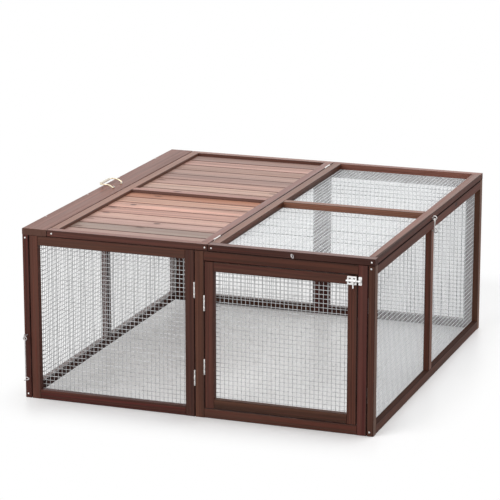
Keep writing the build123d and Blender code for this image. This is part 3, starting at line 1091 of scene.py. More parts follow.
def smooth_path(stops: np.ndarray, steps: int = 6) -> np.ndarray:
    """Smooth curve through stops: on each span a cubic whose end slopes come from the neighbours.

    Args:
        stops: (n, 3).
        steps: points on each span.

    Returns:
        The path, (m, 3).
    """
    ends = np.concatenate([2 * stops[:1] - stops[1:2], stops, 2 * stops[-1:] - stops[-2:-1]])
    a, b, c, d = ends[:-3], ends[1:-2], ends[2:-1], ends[3:]
    share = np.linspace(0, 1, steps, endpoint=False)[None, :, None]
    flat = b[:, None]
    slope = (c - a)[:, None] / 2
    bend = (a - 2.5 * b + 2 * c - d / 2)[:, None]
    twist = ((d - a) / 2 + 1.5 * (b - c))[:, None]
    curve = flat + slope * share + bend * share**2 + twist * share**3
    return np.concatenate([curve.reshape(-1, 3), stops[-1:]])


def make_piece(
    name: str,
    skin: Skin,
    material: Material,
    body: str,
    slot: Slot,
    replaces: tuple[str, ...] = (),
    sharp: float = 35.0,
) -> None:
    """Put a skin into the scene as a piece that rides on a body.

    Args:
        name: the piece's name.
        skin: its points and faces.
        material: its finish.
        body: the body that it moves with.
        slot: the record's material slot; not used.
        replaces: the nodes that it stands for.
        sharp: edges that turn by more degrees than this stay crisp.
    """
    mesh = bpy.data.meshes.new(name)
    loops = np.concatenate([corners.ravel() for corners in skin.faces]).astype(np.int32)
    totals = np.concatenate([np.full(len(corners), corners.shape[1]) for corners in skin.faces])
    starts = np.concatenate([[0], np.cumsum(totals)[:-1]]).astype(np.int32)
    mesh.vertices.add(len(skin.points))
    mesh.vertices.foreach_set("co", skin.points.astype(np.float32).ravel())
    mesh.loops.add(len(loops))
    mesh.loops.foreach_set("vertex_index", loops)
    mesh.polygons.add(len(totals))
    mesh.polygons.foreach_set("loop_start", starts)
    mesh.update(calc_edges=True)
    mesh.validate()
    mesh.shade_smooth()
    mesh.set_sharp_from_angle(angle=math.radians(sharp))
    mesh.materials.append(material)
    piece = bpy.data.objects.new(name, mesh)
    bpy.context.scene.collection.objects.link(piece)
    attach(piece, body)
    if replaces:
        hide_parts(*replaces)
    LOG.info("%s: %d triangles on %s", name, int((totals - 2).sum()), body)


def dress(node: str, material: Material) -> None:
    """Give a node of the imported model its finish.

    Args:
        node: the node.
        material: its finish.
    """
    node_object = FRAME["nodes"][node]
    node_object.data.materials.clear()
    node_object.data.materials.append(material)
    LOG.info("%s: %s", node, material.name)


# The coop's sub-assemblies


@dataclass
class LathFrames:
    """Butt-jointed lath frames of the walls, the door and both lids."""

    timber: Timber
    apart: dict[str, Timber]
    lath_w: float = 26 * MM
    side_walls: tuple[str, ...] = ("left_wall", "right_wall")
    end_walls: tuple[str, ...] = ("front_left", "front_right", "door", "back_left", "back_right")
    lids: tuple[str, ...] = ("left_lid", "right_lid")

    def stain(self, node: str, grain: Way, face: Way) -> None:
        """Stain one node, with its own finish where it has one."""
        timber = self.apart.get(node, self.timber)
        dress(node, timber.material(Lay.pair(node, grain, face, self.lath_w)))

    def dress_frames(self) -> None:
        """Stain the stiles and rails of every frame, and the bars of those that have one."""
        for names, face, stile, rail, bar in (
            (self.side_walls, Way.X, Way.Z, Way.Y, Way.Z),
            (self.end_walls, Way.Y, Way.Z, Way.X, Way.Z),
            (self.lids, Way.Z, Way.Y, Way.X, Way.X),
        ):
            for name in names:
                self.stain(f"{name}_stiles", stile, face)
                self.stain(f"{name}_rails", rail, face)
                if f"{name}_bar" in FRAME["nodes"]:
                    self.stain(f"{name}_bar", bar, face)


@dataclass
class RoofBoards:
    """Weathered boards of the roof: the fixed shelf, the slats and the batten across them."""

    shelf_timber: Timber
    batten_timber: Timber
    slat_timber: Timber
    slat_count: int = 16
    slat_gap: float = 3 * MM

    def dress_boards(self) -> None:
        """Stain the shelf, the slats and the batten."""
        shelf_low, shelf_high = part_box("shelf_board")
        batten_low, batten_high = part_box("left_lid_batten")
        shelf = Lay.pair("shelf_board", Way.Y, Way.Z, shelf_high.x - shelf_low.x)
        slats = Lay.rows("left_lid_slats", Way.X, Way.Z, self.slat_count, self.slat_gap)
        batten = Lay.pair("left_lid_batten", Way.X, Way.Z, batten_high.y - batten_low.y)
        dress("shelf_board", self.shelf_timber.material(shelf))
        dress("left_lid_slats", self.slat_timber.material(slats))
        dress("left_lid_batten", self.batten_timber.material(batten))


@dataclass(frozen=True)
class Pane:
    """One pane of mesh: its lowest and highest corner, and a number of its own for its waves."""

    low: np.ndarray
    high: np.ndarray
    phase: float

    def share(self, axis: int, places: np.ndarray) -> np.ndarray:
        """Places along an axis as shares of the pane."""
        return (places - self.low[axis]) / (self.high[axis] - self.low[axis])


@dataclass
class WeldedMesh:
    """Half-inch welded mesh of one frame: two layers of straight wires, welded at every crossing."""

    body: str
    face: Way
    inward: float
    pitch: float = 12 * MM
    wire_r: float = 0.8 * MM
    lift: float = 0.35 * MM
    overlap: float = 4.1 * MM
    slack: float = 1.4 * MM
    stray: float = 0.12 * MM
    short: float = 0.2 * MM
    sides: int = 6

    @property
    def node(self) -> str:
        """The node that the mesh stands for."""
        return f"{self.body}_mesh"

    def panes(self) -> list[Pane]:
        """The panes, from the box of the node and of the bar that splits it in some frames.

        Returns:
            One or two panes.
        """
        low, high = corners_of(self.node)
        boxes = [(low, high)]
        bar = f"{self.body}_bar"
        if bar in FRAME["nodes"]:
            bar_low, bar_high = corners_of(bar)
            across = Way.Y.value
            first, second = high.copy(), low.copy()
            first[across] = bar_low[across] + self.overlap
            second[across] = bar_high[across] - self.overlap
            boxes = [(low, first), (second, high)]
        return [Pane(*box, 1.7 * number + len(self.node) * 0.9) for number, box in enumerate(boxes)]

    def level(self, pane: Pane, u: np.ndarray, v: np.ndarray, height: float) -> np.ndarray:
        """Where wires lie along the face's axis: their height over the rebate, less the pane's bulge.

        The bulge is a low swell, nought at the edges, with slow waves.

        Args:
            pane: the pane.
            u: share along its first axis.
            v: share along its second axis.
            height: distance from the rebate, without the bulge.

        Returns:
            Places along the face's axis.
        """
        axis = self.face.value
        seat = float(pane.low[axis] if self.inward > 0 else pane.high[axis])
        swell = np.clip(np.sin(np.pi * u), 0, 1) ** 0.7 * np.clip(np.sin(np.pi * v), 0, 1) ** 0.7
        waves = 0.6 + 0.25 * np.sin(7.1 * u + pane.phase) + 0.25 * np.sin(8.3 * v + 2 * pane.phase)
        return seat + self.inward * (height - self.slack * swell * waves)

    def layer(self, pane: Pane, run: int, across: int, height: float) -> tuple[Skin, np.ndarray]:
        """One layer of parallel wires in a pane.

        Every wire is a ring of points carried along its run; its place across the pane is an even
        step with a small shift of its own, and its height follows the pane's bulge.

        Args:
            pane: the pane.
            run: axis along the wires.
            across: axis across them.
            height: distance of the layer from the rebate.

        Returns:
            The wires, and their places across the pane.
        """
        low, high = pane.low, pane.high
        span = high[across] - low[across] - 2 * self.wire_r
        count = int(span // self.pitch) + 1
        margin = self.wire_r + (span - (count - 1) * self.pitch) / 2
        strays = np.random.default_rng(int(pane.phase * 10) + run).normal(0, self.stray, count)
        places = low[across] + margin + np.arange(count) * self.pitch + strays
        stops = max(2, int((high[run] - low[run]) / (2 * self.pitch)))
        along = np.linspace(low[run] + self.short, high[run] - self.short, stops)
        ring = circle(self.sides) * self.wire_r
        turn = np.cross(np.eye(3)[run], np.eye(3)[across])[self.face.value]
        points = np.zeros((count, stops, self.sides, 3))
        points[..., run] = along[None, :, None]
        points[..., across] = places[:, None, None] + ring[None, None, :, 0]
        shares = (pane.share(run, along)[None], pane.share(across, places)[:, None])
        u, v = shares if run < across else shares[::-1]
        level = self.level(pane, u, v, height)
        points[..., self.face.value] = level[:, :, None] + turn * ring[None, None, :, 1]
        tube = grid(stops, self.sides, True)
        caps = np.concatenate(end_caps(stops, self.sides))
        shift = np.arange(count)[:, None, None] * stops * self.sides
        faces = [(tube[None] + shift).reshape(-1, 4), (caps[None] + shift).reshape(-1, self.sides)]
        return Skin(points.reshape(-1, 3), faces), places

    def welds(self, pane: Pane, first: np.ndarray, second: np.ndarray, axes: tuple[int, int]) -> Skin:
        """Beads of zinc at the crossings: small eight-sided lozenges between the two layers.

        Args:
            pane: the pane.
            first: places along the first axis.
            second: places along the second axis.
            axes: the two axes of the pane.

        Returns:
            The beads.
        """
        u, v = np.meshgrid(first, second, indexing="ij")
        shares = (pane.share(axes[0], u), pane.share(axes[1], v))
        origins = np.zeros((u.size, 3))
        origins[:, axes[0]] = u.ravel()
        origins[:, axes[1]] = v.ravel()
        origins[:, self.face.value] = self.level(pane, *shares, self.wire_r + self.lift / 2).ravel()
        half, reach = 0.9 * self.wire_r, 1.6 * self.wire_r
        bead = turned([(0, -half), (reach, 0), (0, half)], 4)
        frame = np.roll(np.eye(3), self.face.value + 1, axis=0)
        return bead.copies(np.broadcast_to(frame, (u.size, 3, 3)), origins)

    def build(self, finish: Material) -> None:
        """Lay the wires of every pane and put them in the node's place.

        Args:
            finish: the wires' plating.
        """
        axes = tuple(axis for axis in range(3) if axis != self.face.value)
        skins = []
        for pane in self.panes():
            upright, spots = self.layer(pane, axes[1], axes[0], self.wire_r)
            level, heights = self.layer(pane, axes[0], axes[1], self.wire_r + self.lift)
            skins += [upright, level, self.welds(pane, spots, heights, axes)]
        name = f"{self.body}_welded_mesh"
        make_piece(name, join(skins), finish, self.body, Slot.MESH, (self.node,), 60.0)


@dataclass(frozen=True)
class WoodScrews:
    """Pan-head screws of one size, with a cross recess."""

    head_r: float = 2.35 * MM
    head_h: float = 1.35 * MM
    recess: float = 0.85 * MM
    arm_w: float = 0.35 * MM
    arm_l: float = 1.27 * MM
    sides: int = 40
    rings: int = 15

    def head(self) -> Skin:
        """One head about z, seated at nought: a dome whose height drops inside a cross.

        The height at a radius and an angle is the dome's, less the recess wherever the point lies
        inside either arm of the cross.

        Returns:
            The head.
        """
        share = np.linspace(0, 1, self.rings)[1:]
        spokes = circle(self.sides)
        flat = share[:, None, None] * spokes[None] * self.head_r
        x, y = np.abs(flat[..., 0]), np.abs(flat[..., 1])

        def fall(size: np.ndarray, low: float, high: float) -> np.ndarray:
            """Smooth fall from one to nought between two sizes."""
            part = np.clip((size - low) / (high - low), 0, 1)
            return 1 - part * part * (3 - 2 * part)

        near, far = 0.7 * self.arm_w, 1.3 * self.arm_w
        tip = 0.8 * self.arm_l
        arms = np.maximum(
            fall(x, near, far) * fall(y, tip, self.arm_l), fall(y, near, far) * fall(x, tip, self.arm_l)
        )
        dome = self.head_h * (0.55 + 0.45 * np.sqrt(1 - (share * 0.98) ** 2))
        tops = np.concatenate([flat, (dome[:, None] - self.recess * arms)[..., None]], axis=-1)
        foot = np.concatenate([spokes * self.head_r, np.zeros((self.sides, 1))], axis=-1)
        rows = np.concatenate([foot[None], tops[::-1]])
        points = np.concatenate([rows.reshape(-1, 3), [[0, 0, self.head_h - self.recess]]])
        seat, rim = end_caps(len(rows), self.sides)
        return Skin(points, [grid(len(rows), self.sides, True), seat, fan(rim[0], len(points) - 1)])

    def driven(self, spots: list[Point], out: np.ndarray, across: np.ndarray, turns: np.ndarray) -> Skin:
        """Heads at given places, each cross turned from a way across by an angle about the way out.

        Args:
            spots: where each head is seated.
            out: the way out of the wood.
            across: a way square to it.
            turns: each head's angle.

        Returns:
            All the heads.
        """
        first = np.cos(turns)[:, None] * across + np.sin(turns)[:, None] * np.cross(out, across)
        frames = np.stack([first, np.cross(out, first), np.broadcast_to(out, first.shape)], axis=1)
        return self.head().copies(frames, np.array(spots, float))

    def build(self, name: str, body: str, spots: list[Point], out: np.ndarray, finish: Material) -> None:
        """Drive screws at given places, as one piece on a body."""
        turns = 0.4 + 1.9 * np.arange(len(spots))
        make_piece(name, self.driven(spots, out, np.roll(out, 1), turns), finish, body, Slot.ZINC)


class Screw(Enum):
    """Sizes of screw: in the frames, along the shelf, on the bolt, and flush in the hinges' leaves."""

    FRAME = WoodScrews()
    SHELF = WoodScrews(2.1 * MM, 0.9 * MM, 0.6 * MM, 0.32 * MM, 1.15 * MM, 28, 11)
    BOLT = WoodScrews(1.7 * MM, 0.8 * MM, 0.5 * MM, 0.25 * MM, 0.95 * MM, 28, 11)
    LEAF = WoodScrews(1.9 * MM, 0.09 * MM, 0.5 * MM, 0.28 * MM, 1.1 * MM, 24, 9)


@dataclass
class ButtHinges:
    """Closed butt hinges in the seams: leaves flat on the wood, three knuckles on one pin."""

    length: float = 43 * MM
    leaf_w: float = 13 * MM
    leaf_t: float = 0.9 * MM
    seam: float = 2 * MM
    knuckle_r: float = 2 * MM
    pin_r: float = 1 * MM
    fit: float = 0.05 * MM
    end_share: float = 0.3
    play: float = 0.2 * MM
    knuckle_ease: float = 0.4 * MM
    pin_ease: float = 0.3 * MM
    leaf_corner: float = 0.8 * MM
    leaf_ease: float = 0.12 * MM
    lap: float = 0.3 * MM
    screw_out: tuple[float, ...] = (8.6 * MM, 6.6 * MM, 8.6 * MM)
    screw_share: tuple[float, ...] = (-0.36, 0.0, 0.36)
    sides: int = 28

    def half(
        self, middle: Point, along: np.ndarray, into: np.ndarray, first: np.ndarray, pinned: bool
    ) -> Skin:
        """One half of a hinge.

        Args:
            middle: the pin's middle.
            along: the pin's way.
            into: the way the leaves run from the pin.
            first: the way to the wood of the half with the pin.
            pinned: this half has the pin and both end knuckles.

        Returns:
            Leaf, knuckles and pin.
        """
        hand = math.copysign(1, float(np.cross(along, into) @ first))
        hand = hand if pinned else -hand
        reach = self.length / 2
        end = self.length * (0.5 - self.end_share)
        gap = self.play
        own = [(-reach, -end), (end, reach)] if pinned else [(gap - end, end - gap)]
        bore = self.pin_r if pinned else self.pin_r + self.fit
        ease = self.knuckle_ease
        parts = [sleeve(bore, self.knuckle_r, low, high, ease, self.sides) for low, high in own]
        if pinned:
            tip, rim = reach - self.pin_ease, self.pin_r - self.pin_ease
            lower = [(0, -reach), (rim, -reach), (self.pin_r, -tip)]
            upper = [(self.pin_r, tip), (rim, reach), (0, reach)]
            parts.append(turned(lower + upper, self.sides))
        offset = hand * (self.seam - self.leaf_t) / 2
        clear = self.knuckle_r + gap
        parts.append(self.leaf(clear, self.leaf_w, -reach, reach, offset))
        near, far = 0.8 * self.knuckle_r, clear + self.lap
        parts += [self.leaf(near, far, low, high, offset) for low, high in own]
        parts.append(self.leaf_screws(offset, -hand))
        return join(parts).set_in(np.array(middle), along, into)

    def leaf(self, near: float, far: float, low: float, high: float, offset: float) -> Skin:
        """Flat plate beside the pin.

        Args:
            near: the edge nearer to the pin.
            far: the edge further from it.
            low: lower end along the pin.
            high: upper end along the pin.
            offset: the plate's middle off the seam's middle.

        Returns:
            The plate, with the pin along z.
        """
        outline = rounded_outline(far - near, high - low, min(self.leaf_corner, (far - near) / 3), 4)
        plate = slab(outline, -self.leaf_t / 2, self.leaf_t / 2, self.leaf_ease)
        frame = np.array([[[1, 0, 0], [0, 0, 1], [0, -1, 0]]], float)
        return plate.copies(frame, np.array([[(near + far) / 2, offset, (low + high) / 2]]))

    def leaf_screws(self, offset: float, out: float) -> Skin:
        """Flush countersunk heads on the leaf's free face.

        Args:
            offset: the leaf's middle off the seam's middle.
            out: one or minus one, the free face's side.

        Returns:
            The heads, with the pin along z.
        """
        count = len(self.screw_out)
        heights = np.array(self.screw_share) * self.length
        level = np.full(count, offset + out * self.leaf_t / 2)
        across, normal = np.array([out, 0, 0], float), np.array([0, out, 0], float)
        frame = np.stack([across, np.cross(normal, across), normal])
        origins = np.column_stack([self.screw_out, level, heights])
        return Screw.LEAF.value.head().copies(np.broadcast_to(frame, (count, 3, 3)), origins)


@dataclass
class HingeSet:
    """Every hinge of the coop, gathered into one piece for each set of leaves."""

    finish: Material
    hinges: ButtHinges = field(default_factory=ButtHinges)
    middle_x: float = (LEFT + RIGHT) / 2
    corner_in: float = 19 * MM
    pin_out: float = 1 * MM
    fold_z: tuple[float, float] = (108.5 * MM, 352.5 * MM)
    door_z: tuple[float, float] = (142 * MM, 319 * MM)
    door_x: float = 20.1 * MM
    lid_x: float = 29.1 * MM
    lid_z: float = 481 * MM
    lid_y: tuple[float, float] = (-460.1 * MM, 479.9 * MM)
    shelf_x: float = -434.9 * MM
    shelf_z: float = 464.2 * MM
    shelf_y: tuple[float, float] = (-340.1 * MM, 359.9 * MM)

    def lines(self) -> dict[str, tuple[list[Point], np.ndarray, np.ndarray]]:
        """Every fold by name.

        Returns:
            The pins' middles, the pins' way and the leaves' way of each fold.
        """
        up, back = Way.Z.unit(), Way.Y.unit()
        corner_l, corner_r = LEFT + self.corner_in, RIGHT - self.corner_in
        inner_f, inner_b = FRONT + self.corner_in, BACK - self.corner_in
        outer_f, outer_b = FRONT - self.pin_out, BACK + self.pin_out
        return {
            "front_left": ([(corner_l, inner_f, z) for z in self.fold_z], up, -back),
            "front_mid": ([(self.middle_x, outer_f, z) for z in self.fold_z], up, back),
            "front_right": ([(corner_r, inner_f, z) for z in self.fold_z], up, -back),
            "back_left": ([(corner_l, inner_b, z) for z in self.fold_z], up, back),
            "back_mid": ([(self.middle_x, outer_b, z) for z in self.fold_z], up, -back),
            "back_right": ([(corner_r, inner_b, z) for z in self.fold_z], up, back),
            "door": ([(self.door_x, outer_f, z) for z in self.door_z], up, back),
            "lid": ([(self.lid_x, y, self.lid_z) for y in self.lid_y], back, -up),
            "shelf": ([(self.shelf_x, y, self.shelf_z) for y in self.shelf_y], back, up),
        }

    def build(self) -> None:
        """Make the leaves of every body."""
        lines = self.lines()
        plan = {
            "left_wall_leaves": ("left_wall", ["front_left", "back_left"], []),
            "shelf_hinges": ("left_wall", ["shelf"], ["shelf"]),
            "left_lid_leaves": ("left_wall", ["lid"], []),
            "right_lid_leaves": ("right_lid", [], ["lid"]),
            "front_left_leaves": ("front_left", ["front_mid"], ["front_left"]),
            "front_right_leaves": ("front_right", ["front_right", "door"], ["front_mid"]),
            "door_leaves": ("door", [], ["door"]),
            "right_wall_leaves": ("right_wall", [], ["front_right", "back_right"]),
            "back_left_leaves": ("back_left", ["back_mid"], ["back_left"]),
            "back_right_leaves": ("back_right", ["back_right"], ["back_mid"]),
        }
        for node, (body, pinned, bored) in plan.items():
            skins = [
                self.hinges.half(middle, lines[fold][1], lines[fold][2], -Way.X.unit(), has_pin)
                for folds, has_pin in ((pinned, True), (bored, False))
                for fold in folds
                for middle in lines[fold][0]
            ]
            make_piece(f"{node}_round", join(skins), self.finish, body, Slot.ZINC, (node,))


@dataclass
class EyesAndHooks:
    """Screw eyes and the two wire hooks that hang from them."""

    store_finish: Material
    roof_finish: Material
    eye_r: float = 5.5 * MM
    eye_wire: float = 1.3 * MM
    eye_gap: float = 0.32
    shank_r: float = 1.6 * MM
    shank_in: float = 12 * MM
    neck: float = 1.5 * MM
    thread_pitch: float = 1.3 * MM
    thread_depth: float = 0.5 * MM
    point: float = 3 * MM
    store_foot: Point = (-498.9 * MM, FRONT, 180 * MM)
    store_out: float = 16 * MM
    lid_foot: Point = (RIGHT, 0.9 * MM, 468.5 * MM)
    lid_out: float = 7.5 * MM
    catch_foot: Point = (269.1 * MM, FRONT, 471 * MM)
    catch_lean: float = 25.0
    wall_foot: Point = (RIGHT, 5.9 * MM, 431 * MM)
    plain_out: float = 9 * MM
    store_wire: float = 1.5 * MM
    store_loop: float = 4.6 * MM
    store_hub: float = 173.1 * MM
    store_bends: tuple[float, ...] = (2.0 * MM, 2.2 * MM)
    roof_wire: float = 1.6 * MM
    roof_loop: float = 4.2 * MM
    roof_hub: float = 462.1 * MM
    roof_bend: float = 3.2 * MM
    roof_tip: float = 9 * MM
    crisp: float = 50.0

    def eye(self, foot: Point, inward: np.ndarray, out: float, lean: float = 0.0) -> Skin:
        """Screw eye: wire bent round into a ring, and a threaded shank.

        The ring is an arc that stops just short of the shank; the shank's radius rises and falls as a
        screw thread, a wave of height and angle, below the plain neck.

        Args:
            foot: where the shank enters the wood.
            inward: the way into the wood.
            out: distance of the ring's centre from the wood.
            lean: how far the ring is turned about its shank, in degrees.

        Returns:
            Ring and shank.
        """
        foot_at = np.array(foot)
        side = np.cross(inward, Way.Z.unit())
        up = math.cos(math.radians(lean)) * Way.Z.unit() - math.sin(math.radians(lean)) * side
        centre = foot_at - inward * out
        angles = np.linspace(0.0, TURN - self.eye_gap, 44)[:, None]
        path = centre + self.eye_r * (np.cos(angles) * inward + np.sin(angles) * up)
        ring = wire(path, np.cross(inward, up), self.eye_wire)
        rows, sides = 70, 18
        height = np.linspace(-self.shank_in, out - self.eye_r, rows)
        angle = np.arange(sides) * TURN / sides
        cut = np.clip((self.neck - height) / self.neck, 0, 1)[:, None]
        wave = np.abs(((height[:, None] / self.thread_pitch - angle / TURN) % 1) * 2 - 1)
        radius = self.shank_r - self.thread_depth * cut * (1 - wave)
        taper = np.clip((height + self.shank_in) / self.point, 0.15, 1)[:, None]
        flat = (radius * taper)[..., None] * circle(sides)[None]
        points = np.concatenate([flat, np.broadcast_to(height[:, None, None], (rows, sides, 1))], axis=-1)
        shank = Skin(points.reshape(-1, 3), [grid(rows, sides, True), *end_caps(rows, sides)])
        return ring + shank.set_in(foot_at, -inward, up)

    @staticmethod
    def hook(
        loop_r: float, hub: float, corners: list[tuple[float, float]], bends: list[float]
    ) -> np.ndarray:
        """Flat path of a wire hook: a closed loop about the hub, a neck, then runs with round bends.

        Args:
            loop_r: the loop's radius.
            hub: height of the loop's middle.
            corners: side and height of each corner of the runs below the neck.
            bends: bend radius at each inner corner.

        Returns:
            Side and height of each path point, (n, 2).
        """
        angles = np.linspace(TURN * 0.7, -TURN * 0.17, 30)
        loop = np.stack([loop_r * np.cos(angles), hub + loop_r * np.sin(angles)], axis=-1)
        sides, drops = np.array([0.2, 0.0, 0.0]), np.array([1.33, 2.0, 2.9])
        neck = np.column_stack([sides * loop_r, hub - drops * loop_r])
        upper = np.concatenate([loop, neck])
        upper = smooth_path(np.column_stack([upper, np.zeros(len(upper))]), 3)
        below = np.array([(0.0, hub - 3 * loop_r), *corners])
        lower = filleted(np.column_stack([below, np.zeros(len(below))]), bends, 12)
        return np.concatenate([upper, lower])[:, :2]

    def storage_hook(self) -> Skin:
        """Long hook: a loop on the eye, a straight rod and a crook that comes back past the rod.

        Returns:
            The bent wire.
        """
        runs = [(0.0, 63.7 * MM), (13.5 * MM, 58.5 * MM), (-5.2 * MM, 53.3 * MM)]
        flat = self.hook(self.store_loop, self.store_hub, runs, list(self.store_bends))
        x, y = self.store_foot[0], self.store_foot[1] - self.store_out
        path = np.column_stack([x + flat[:, 0], np.full(len(flat), y), flat[:, 1]])
        return wire(path, Way.Y.unit(), self.store_wire)

    def roof_hook(self) -> Skin:
        """Short hook: a loop on the lid's eye, a rod and a tip turned through the wall's ring.

        Returns:
            The bent wire.
        """
        low = self.wall_foot[2]
        runs = [(0.0, low), (self.roof_tip, low)]
        flat = self.hook(self.roof_loop, self.roof_hub, runs, [self.roof_bend])
        x, y = self.lid_foot[0] + self.lid_out, self.lid_foot[1]
        path = np.column_stack([np.full(len(flat), x), y + flat[:, 0], flat[:, 1]])
        return wire(path, Way.X.unit(), self.roof_wire)

    def build(self) -> None:
        """Make the eyes and hooks on their bodies."""
        left, back = -Way.X.unit(), Way.Y.unit()
        store = self.eye(self.store_foot, back, self.store_out)
        catch = self.eye(self.catch_foot, back, self.plain_out, self.catch_lean)
        lid = self.eye(self.lid_foot, left, self.lid_out)
        wall = self.eye(self.wall_foot, left, self.plain_out)
        # The storage pieces and plain eyes take zinc with painted shade; the lid's eye and the roof hook
        # take zinc with painted light.
        dull, zinc_with_painted_light = self.store_finish, self.roof_finish
        for name, skin, finish, body, node in (
            ("storage_screw_eye", store, dull, "left_wall", "storage_eye"),
            ("lid_screw_eye", lid, zinc_with_painted_light, "right_lid", "right_lid_eyes"),
            ("catch_screw_eye", catch, dull, "right_lid", "right_lid_eyes"),
            ("wall_screw_eye", wall, dull, "right_wall", "right_wall_eye"),
            ("storage_wire_hook", self.storage_hook(), dull, "storage_hook", "storage_hook"),
            ("roof_wire_hook", self.roof_hook(), zinc_with_painted_light, "roof_hook", "roof_hook"),
        ):
            make_piece(name, skin, finish, body, Slot.ZINC, (node,), self.crisp)


@dataclass
class CarryHandle:
    """Wire bail on the shelf, its stubs under two staples and a pale sleeve on its straight."""

    wire_finish: Material
    grip_finish: Material
    staple_finish: Material
    pivot: Point = (-464.9 * MM, 23.9 * MM, 482.1 * MM)
    wire_r: float = 1.9 * MM
    stub: float = 26 * MM
    foot: float = 36 * MM
    reach: float = 39 * MM
    rise: float = 9 * MM
    splay: float = 7 * MM
    staple_r: float = 1 * MM
    staple_bow: float = 3.3 * MM
    staple_y: float = 29 * MM
    staple_in: float = 10.1 * MM
    grip_r: float = 3.8 * MM
    grip_l: float = 66 * MM
    grip_bow: float = 0.5 * MM
    groove_w: float = 0.9 * MM
    groove_d: float = 0.35 * MM
    bends: tuple[float, ...] = (3.4 * MM, 26 * MM, 9 * MM)
    crisp: float = 50.0

    def bail(self) -> Skin:
        """Bent wire from one stub round the grip to the other, with a round bend at each corner.

        Returns:
            The bent wire.
        """
        along, up = np.array([0, 0.3, 1]), np.array([0, 1, 1])
        leg = np.stack([-along * self.reach, self.foot + along * self.splay, up * self.rise], axis=-1)
        right = np.concatenate([[[0, self.stub, 0]], leg])
        left = right * np.array([1, -1, 1])
        corners = np.concatenate([left, right[::-1]]) + np.array(self.pivot)
        path = filleted(corners, [*self.bends, *self.bends[::-1]], 12)
        return wire(path, np.array([0.45, 0, 0.9]), self.wire_r, 20)

    def staples(self) -> Skin:
        """Two round wire staples over the stubs, their legs down in the shelf.

        Returns:
            Both staples.
        """
        x, y, z = self.pivot
        bow = np.linspace(math.pi, 0, 17)
        arc = self.staple_bow * np.stack([np.cos(bow), np.sin(bow)], axis=-1) + np.array([x, z])
        low = z - self.staple_in
        flat = np.concatenate([[[x - self.staple_bow, low]], arc, [[x + self.staple_bow, low]]])
        skins = []
        for place in (y - self.staple_y, y + self.staple_y):
            path = np.column_stack([flat[:, 0], np.full(len(flat), place), flat[:, 1]])
            skins.append(wire(path, Way.Y.unit(), self.staple_r))
        return join(skins)

    def grip(self) -> Skin:
        """Moulded sleeve on the straight of the bail: radius by length, a little fuller in the middle.

        The radius is the sleeve's, less a slow bow towards the ends and a quarter turn at each rim, and
        five shallow grooves run round it.

        Returns:
            The sleeve.
        """
        rows, sides, half = 81, 32, self.grip_l / 2
        place = np.linspace(-half, half, rows)
        share = np.abs(place) / half
        rim = np.clip((share - 0.95) / 0.05, 0, 1)
        grooves = np.linspace(-0.6, 0.6, 5) * half
        groove = np.exp(-(((place[:, None] - grooves) / self.groove_w) ** 2)).sum(axis=1)
        radius = self.grip_r - self.grip_bow * share**2 - self.groove_d * groove
        radius = radius - (radius - self.wire_r) * 0.45 * (1 - np.sqrt(1 - rim**2))
        mouth = 0.96 * self.wire_r
        profile = [(mouth, -half), *zip(radius, place), (mouth, half)]
        x, y, z = self.pivot
        origin = np.array([x - self.reach, y, z + self.rise])
        return turned(profile, sides).set_in(origin, Way.Y.unit(), Way.X.unit())

    def build(self) -> None:
        """Make the bail, its sleeve and its staples."""
        handle, hardware = Slot.HANDLE, Slot.ZINC
        for name, skin, finish, body, slot, node in (
            ("carry_bail", self.bail(), self.wire_finish, "carry_handle", handle, "carry_handle"),
            ("bail_grip", self.grip(), self.grip_finish, "carry_handle", handle, "handle_grip"),
            ("bail_staples", self.staples(), self.staple_finish, "left_wall", hardware, "handle_staples"),
        ):
            make_piece(name, skin, finish, body, slot, (node,), self.crisp)


